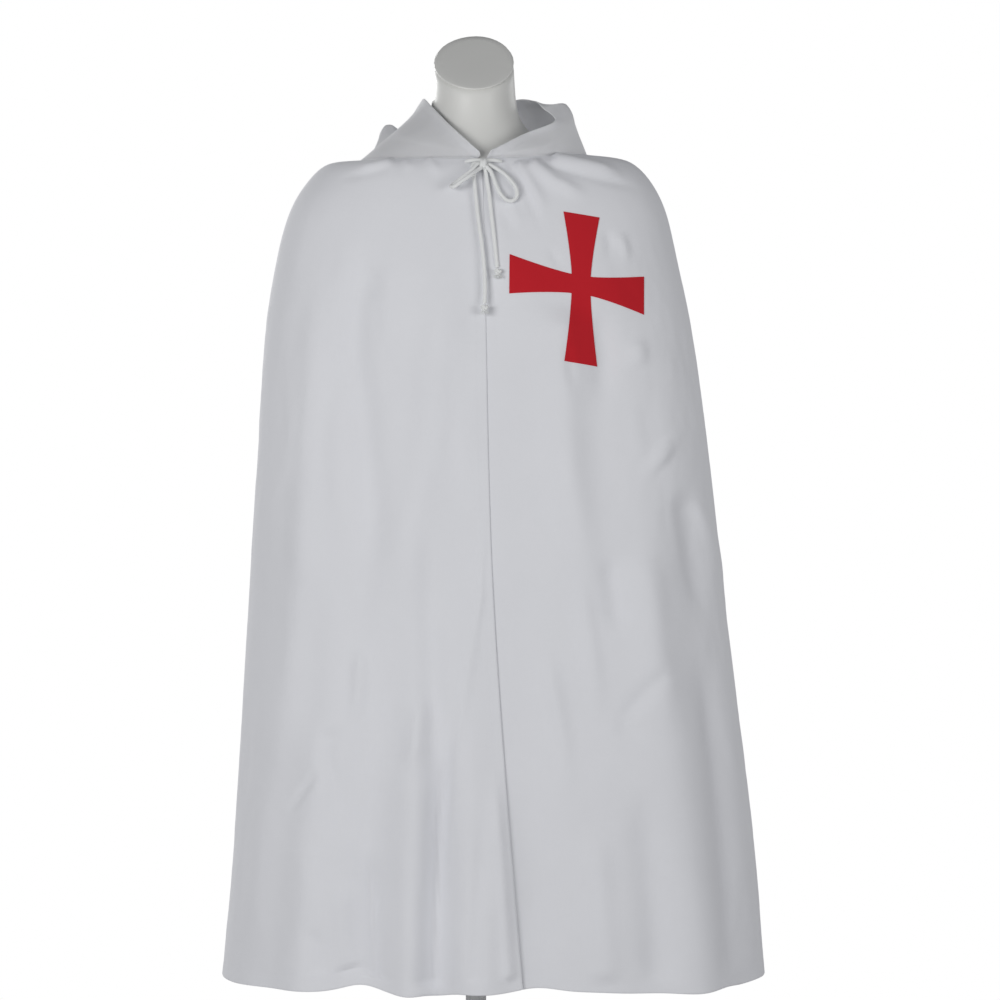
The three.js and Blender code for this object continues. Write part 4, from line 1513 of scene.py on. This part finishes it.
@dataclass
class Mantle:
    """The back and the two fronts of the mantle, with their hems and stitches. Rows and columns are the
    width of the dense border, the spacing in it and the spacing between."""

    shape: MantleShape
    finish: bpy.types.Material
    panels: tuple[Panel, ...] = (
        Panel("back", Layer.BACK, (Edge.BOTTOM,), 1.02, (1.02, 1.2), 0.93),
        Panel("front_right", Layer.OVER, (Edge.BOTTOM, Edge.FIRST), 0.59, (0.6, 1.18), 0.505),
        Panel("front_left", Layer.UNDER, (Edge.BOTTOM, Edge.LAST), 0.52, (0.56, 1.2), 0.5),
    )
    side_seam: float = 84.0
    seam_gap: float = 0.3
    length: float = 1.15
    rows: tuple = (22 * MM, 1.6 * MM, 5.2 * MM)
    columns: tuple = (22 * MM, 2.4 * MM, 5.6 * MM)
    hem_stitches: float = 13.0 * MM
    seam_stitches: float = 3.5 * MM
    neck_stitches: float = 3.0 * MM
    grids: dict = field(default_factory=dict)

    def grid(self, panel: Panel) -> ClothGrid:
        """Works out a panel's points.

        Args:
            panel: the panel.

        Returns:
            Its grid.
        """
        down = spread(self.length, *self.rows)[:, None]
        share = spread(panel.width, *self.columns)[None, :]
        ring = self.shape.ring(down)
        gap = np.degrees(self.seam_gap / (ring["left"] + ring["right"]))
        if panel.layer is Layer.BACK:
            first, last = -self.side_seam + gap, self.side_seam - gap
        elif panel.layer is Layer.OVER:
            first, last = self.shape.edge(down, Layer.OVER) - 360, -(self.side_seam + gap)
        else:
            first, last = self.side_seam + gap, self.shape.edge(down, Layer.UNDER)
        degrees = first + (last - first) * share
        surface = self.shape.surface(panel.layer)
        normals = self.shape.normal(surface, degrees, np.broadcast_to(down, degrees.shape))
        points = surface(degrees, down) * MM
        return ClothGrid(f"{panel.node}_cloth", points, normals, hemmed=panel.hemmed)

    def build(self) -> None:
        """Builds the three panels and their stitches."""
        for panel in self.panels:
            grid = self.grid(panel)
            self.grids[panel.node] = grid
            piece = dress(grid.build(), self.finish, Slot.CLOTH, panel.node)
            lines = [grid.line(edge, self.hem_stitches) for edge in panel.hemmed]
            sides = [edge for edge in (Edge.FIRST, Edge.LAST) if edge not in panel.hemmed]
            lines += [grid.line(edge, self.seam_stitches) for edge in sides]
            lines.append(grid.line(Edge.TOP, self.neck_stitches))
            sewn = dress(Stitching().build(f"stitches_{panel.node}", lines), self.finish, Slot.CLOTH)


@dataclass
class Hood:
    """The hood in two halves, lying down on the back: its shape in millimetres, its cloth in metres."""

    shape: MantleShape
    finish: bpy.types.Material
    sections: Table = Table(
        ("side", "hang", "crest_x", "crest_y", "crest_z", "rim_x", "rim_y", "rim_z"),
        (
            (-1.0, 0, 6, -101, 1353, 4, -104, 1358), (-0.8, 0, -68, -82, 1375, -34, -77, 1396),
            (-0.6, 0, -108, -38, 1392, -61, -36, 1427), (-0.45, 0, -104, 18, 1402, -72, 6, 1442),
            (-0.3, 60, -98, 84, 1406, -74, 76, 1444), (-0.15, 215, -62, 140, 1402, -46, 131, 1440),
            (0.0, 238, 0, 160, 1398, 0, 153, 1434), (0.15, 218, 66, 140, 1416, 52, 129, 1454),
            (0.3, 60, 108, 82, 1433, 80, 78, 1449), (0.45, 0, 124, 24, 1436, 94, 20, 1429),
            (0.6, 0, 130, -24, 1402, 108, -42, 1406), (0.8, 0, 88, -78, 1368, 64, -74, 1384),
            (1.0, 0, 18, -101, 1354, 22, -104, 1359),
        ),
    )
    pouch: Table = Table(
        ("turn", "start", "drop", "off", "off_deep", "collar"),
        (
            (1.0, -6, 0, 5, 5, 0.05), (0.97, 9, 0, 12, 8, 0.1), (0.8, 6, 0.2, 19, 6, 0.15),
            (0.62, 0, 0.45, 19, 6, 0.22), (0.47, 0, 0.88, 17, 9, 0.31), (0.42, 0, 1.0, 20, 26, 0.42),
            (0.45, 0, 0.9, 25, 43, 0.56), (0.62, 0, 0.42, 28, 50, 0.74),
        ),
    )
    hang_start: float = 40.0
    hang_whole: float = 110.0
    hang_deep: float = 140.0
    hang_full: float = 140.0
    bulge: float = 30.0
    bulge_rise: float = 1.5
    cloth_length: float = 1150.0
    seam: float = 0.3
    half_seam: float = 0.0012
    crumple: Ripple = Ripple(21, (50.0, 60.0), 1.5)
    fine_crumple: Ripple = Ripple(22, (17.0, 21.0), 0.4)
    crumple_shift: float = 700.0
    crumple_room: tuple = (20.0, 90.0)
    rows: tuple = (12 * MM, 2.4 * MM, 4.5 * MM)
    columns: tuple = (16 * MM, 2.4 * MM, 6.0 * MM)
    wall: float = 1.0 * MM
    hem: float = 14 * MM
    hem_stitches: float = 12 * MM
    seam_stitches: float = 3.5 * MM
    neck_stitches: float = 3.0 * MM
    flat: tuple = (0.56, 0.5)
    halves: tuple = (("hood_right", Edge.LAST, 0.088), ("hood_left", Edge.FIRST, 0.085))

    def controls(self, side: np.ndarray) -> np.ndarray:
        """The points that each section of the hood passes.

        Args:
            side: shares of the way round, -1 to 1.

        Returns:
            (11, sides, 3) points in millimetres.
        """
        zero = np.zeros(1)
        over, under = (self.shape.edge(zero, layer)[0] for layer in (Layer.OVER, Layer.UNDER))
        degrees = side * np.where(side < 0, 360 - over, under)
        seam = self.shape.bare(degrees, zero)
        up = unit(seam - self.shape.bare(degrees, zero + 0.004))
        seam = seam + up * self.seam
        section = self.sections.all_along("side", side)
        crest = np.stack([section[f"crest_{axis}"] for axis in "xyz"], axis=-1)
        rim = np.stack([section[f"rim_{axis}"] for axis in "xyz"], axis=-1)
        hang = np.maximum(0.0, section["hang"])
        bulge = self.bulge * smooth(0.0, self.hang_start, hang)
        blend = smooth(self.hang_start / 2, self.hang_whole, hang)[:, None]
        outward = self.shape.normal(self.shape.bare, degrees, zero)
        outward[:, 2] = self.bulge_rise
        outward = unit(outward)
        line = [seam]
        for p in self.pouch.records():
            off = p["off"] + (p["off_deep"] - p["off"]) * smooth(self.hang_start, self.hang_deep, hang)
            turn = degrees * (1 - (1 - p["turn"]) * smooth(0.0, self.hang_full, hang))
            down = (p["start"] + p["drop"] * hang) / self.cloth_length
            hung = self.shape.bare(turn, down) + self.shape.normal(self.shape.bare, turn, down) * off[:, None]
            stood = seam + (crest - seam) * p["collar"]
            stood = stood + outward * (bulge * math.sin(math.pi * p["collar"]))[:, None]
            line.append(stood + (hung - stood) * blend)
        return np.stack([*line, crest, rim])

    def grid(self, name: str, middle: Edge) -> ClothGrid:
        """Works out one half of the hood.

        Args:
            name: the CAD node's name.
            middle: the edge along the seam between the halves.

        Returns:
            The grid.
        """
        share = spread(0.5, *self.columns)
        start = -1 if middle is Edge.LAST else self.half_seam
        side = start + share * (1 - self.half_seam)
        points = catmull(self.controls(side), 1.0 - spread(0.5, *self.rows))
        normals = grid_normals(points)
        place = ClothGrid(name, points, normals).map()
        u, v = place[..., 0] + self.crumple_shift * side.mean(), place[..., 1]
        crumple = self.crumple.at(u, v) + self.fine_crumple.at(u, v)
        room = smooth(*self.crumple_room, place[-1:, :, 1])
        points = points + normals * (crumple * room)[..., None]
        return ClothGrid(
            f"{name}_cloth",
            points * MM,
            grid_normals(points),
            wall=self.wall,
            hem=self.hem,
            hemmed=(Edge.TOP,),
            groove=0.0,
        )

    def build(self) -> None:
        """Builds the two halves with the hem of the face edge and the seam between them."""
        for name, middle, area in self.halves:
            grid = self.grid(name, middle)
            piece = dress(grid.build(), self.finish, Slot.CLOTH, name)
            lines = [
                grid.line(Edge.TOP, self.hem_stitches),
                grid.line(middle, self.seam_stitches),
                grid.line(Edge.BOTTOM, self.neck_stitches),
            ]
            sewn = dress(Stitching().build(f"stitches_{name}", lines), self.finish, Slot.CLOTH)


@dataclass
class CrossPatch:
    """The red cross sewn on the wearer's left front. Sizes in millimetres, seen from the front."""

    finish: bpy.types.Material
    middle: tuple = (141.5, 1177.0)
    up: float = 95.5
    down: float = 106.0
    left: float = 97.0
    right: float = 86.0
    waist: float = 13.0
    up_end: float = 24.6
    down_end: float = 22.4
    left_end: float = 26.5
    right_end: float = 26.0
    flare: float = 1.35
    tilt: float = 8.5
    lean: float = 0.5
    stand_off: float = 0.25
    thick: float = 0.55
    edge_round: float = 0.2
    fine: int = 12
    arm_rows: int = 40
    ray_start: float = -500.0

    def flat_grids(self) -> list[np.ndarray]:
        """The four arms and the square between them, laid flat.

        Returns:
            (rows, columns, 2) places of X and Z for each, in millimetres.
        """
        tilt, lean = math.radians(self.tilt), math.radians(self.lean)
        level = np.array([math.cos(tilt), -math.sin(tilt)])
        upright = np.array([math.sin(lean), math.cos(lean)])
        arms = (
            (upright, level, self.up, self.up_end),
            (level, -upright, self.right, self.right_end),
            (-upright, -level, self.down, self.down_end),
            (-level, upright, self.left, self.left_end),
        )
        middle = np.array(self.middle)
        across = np.linspace(-1.0, 1.0, self.fine + 1)
        share = np.linspace(0.0, 1.0, self.arm_rows)[:, None]
        grids = []
        for ahead, aside, reach, end in arms:
            start = self.waist / reach
            at = (start + (1 - start) * share) * reach
            half = self.waist + (end - self.waist) * share**self.flare
            grids.append(middle + at[..., None] * ahead + (half * across)[..., None] * aside)
        high, wide = np.meshgrid(across, across, indexing="ij")
        square = middle + high[..., None] * self.waist * upright + wide[..., None] * self.waist * level
        return [*grids, square]

    def laid(self, under: ClothGrid, flat: np.ndarray) -> np.ndarray:
        """Lays flat places on the cloth, straight back from the front.

        Args:
            under: the grid of the front that carries the patch.
            flat: (count, 2) places of X and Z in millimetres.

        Returns:
            (count, 3) points in metres.
        """
        quads = grid_quads(*under.points.shape[:2])
        cloth, normals = under.points.reshape(-1, 3), under.normals.reshape(-1, 3)
        tree = BVHTree.FromPolygons(cloth.tolist(), quads.tolist())
        points = []
        for x, z in flat:
            start = Vector((x * MM, self.ray_start * MM, z * MM))
            place, _, index, _ = tree.ray_cast(start, Vector((0.0, 1.0, 0.0)))
            corners = quads[index]
            weight = 1.0 / (np.linalg.norm(cloth[corners] - np.array(place), axis=1) + 1e-6)
            normal = unit((normals[corners] * weight[:, None]).sum(axis=0))
            points.append(np.array(place) + normal * self.stand_off * MM)
        return np.array(points)

    def build(self, under: ClothGrid) -> None:
        """Builds the patch on the cloth.

        Args:
            under: the grid of the front that carries it.
        """
        faces, first = [], 0
        grids = self.flat_grids()
        for grid in grids:
            rows, columns = grid.shape[:2]
            faces.append(grid_quads(rows, columns, first))
            first += rows * columns
        flat = np.concatenate([grid.reshape(-1, 2) for grid in grids])
        piece = mesh_object("cross_patch", self.laid(under, flat), np.concatenate(faces))
        map_cloth(piece, flat * MM)
        activate(piece)
        bpy.ops.object.mode_set(mode="EDIT")
        bpy.ops.mesh.select_all(action="SELECT")
        bpy.ops.mesh.remove_doubles(threshold=0.02 * MM)
        bpy.ops.mesh.normals_make_consistent(inside=False)
        bpy.ops.object.mode_set(mode="OBJECT")
        if sum(p.normal.y for p in piece.data.polygons) > 0:
            piece.data.flip_normals()
        modify(piece, "wall", "SOLIDIFY", thickness=self.thick * MM, offset=1.0)
        sharp = {"limit_method": "ANGLE", "angle_limit": math.radians(50)}
        modify(piece, "edge", "BEVEL", width=self.edge_round * MM, segments=2, **sharp)
        dress(piece, self.finish, Slot.RED, "cross")


# Display form


@dataclass
class DisplayForm:
    """The limbless form, its neck cap, pole, collar and base plate. Sizes in metres."""

    shell: bpy.types.Material
    paint: bpy.types.Material
    pole_radius: float = 0.014
    pole_top: float = 0.7617
    base_radius: float = 0.165
    base_height: float = 0.009
    collar_radius: float = 0.026
    collar_height: float = 0.034
    gap: float = 0.0003
    base_bevel: float = 0.003
    pole_bevel: float = 0.001
    collar_bevel: float = 0.004
    sides: int = 96

    def rounded_copy(self, node: str, name: str, crease_above: float) -> bpy.types.Object:
        """Copies a CAD solid of the form and rounds it, keeping its cut edges.

        Args:
            node: the CAD node.
            name: the new piece's name.
            crease_above: edges that turn by more than this many degrees stay sharp.

        Returns:
            The object.
        """
        source = bpy.data.objects[node]
        piece = bpy.data.objects.new(name, source.data.copy())
        bpy.context.scene.collection.objects.link(piece)
        activate(piece)
        bpy.ops.object.mode_set(mode="EDIT")
        bpy.ops.mesh.select_all(action="SELECT")
        bpy.ops.mesh.remove_doubles(threshold=TINY)
        bpy.ops.mesh.tris_convert_to_quads(face_threshold=math.radians(30), shape_threshold=math.radians(60))
        bpy.ops.mesh.select_all(action="DESELECT")
        bpy.ops.mesh.edges_select_sharp(sharpness=math.radians(crease_above))
        bpy.ops.transform.edge_crease(value=0.9)
        bpy.ops.object.mode_set(mode="OBJECT")
        modify(piece, "smooth", "SUBSURF", levels=2, render_levels=2)
        bpy.ops.object.shade_smooth_by_angle(angle=math.radians(40.0))
        return piece

    def disc(self, name: str, radius: float, low: float, high: float, bevel: float) -> bpy.types.Object:
        """Makes a round part with a rounded top edge.

        Args:
            name: its name.
            radius: its radius.
            low: height of its underside.
            high: height of its top.
            bevel: radius of the top edge.

        Returns:
            The object.
        """
        piece = cylinder(name, self.sides, radius, high - low, (low + high) / 2)

        def on_top(edge: bmesh.types.BMEdge) -> bool:
            """Whether an edge lies in the top face."""
            return all(v.co.z > high - TINY for v in edge.verts)

        pick_parts(piece, False, on_top)
        bpy.ops.mesh.bevel(offset=bevel, segments=5, profile=0.5)
        bpy.ops.object.mode_set(mode="OBJECT")
        bpy.ops.object.shade_smooth_by_angle(angle=math.radians(35.0))
        return piece

    def build(self) -> None:
        """Builds the form and its stand."""
        for node, name, crease_above in (("form_torso", "torso_shell", 45.0), ("form_cap", "neck_cap", 35.0)):
            dress(self.rounded_copy(node, name, crease_above), self.shell, Slot.FORM, node)
        start, top = self.base_height + self.gap, self.base_height + self.collar_height
        plate = self.disc("base_disc", self.base_radius, 0.0, self.base_height, self.base_bevel)
        dress(plate, self.paint, Slot.STAND, "base_plate")
        pole = self.disc("stand_pole", self.pole_radius, start, self.pole_top, self.pole_bevel)
        dress(pole, self.paint, Slot.STAND, "pole")
        collar = self.disc("stand_collar", self.collar_radius, start, top, self.collar_bevel)
        activate(collar)
        pick_parts(collar, True, is_level)
        rim = self.collar_radius - self.collar_bevel - self.pole_radius - self.gap
        bpy.ops.mesh.inset(thickness=rim)
        bpy.ops.object.mode_set(mode="OBJECT")
        dress(collar, self.paint, Slot.STAND, "pole_collar")


def main() -> None:
    """Builds the scene in order: camera, cords, cloth, form, light and floor."""
    logging.basicConfig(level=logging.INFO, format="%(name)s: %(message)s")
    studio = Studio()
    studio.camera()
    Tie().build(CordFinish().material())
    white = WovenFinish("white cotton", (0.85, 0.856, 0.886), (0.79, 0.796, 0.826))
    red = WovenFinish("red cotton", (0.62, 0.015, 0.026), (0.52, 0.0105, 0.019), sheen=0.02)
    single = WovenFinish("white cotton, lit through", (0.85, 0.858, 0.9), (0.79, 0.798, 0.84), through=0.9)
    shape = MantleShape()
    mantle = Mantle(shape, white.material())
    mantle.build()
    Hood(shape, single.material()).build()
    CrossPatch(red.material()).build(mantle.grids["front_left"])
    DisplayForm(GlossFinish().material(), PaintFinish().material()).build()
    studio.lights()
    studio.floor()


if __name__ == "__main__":
    main()
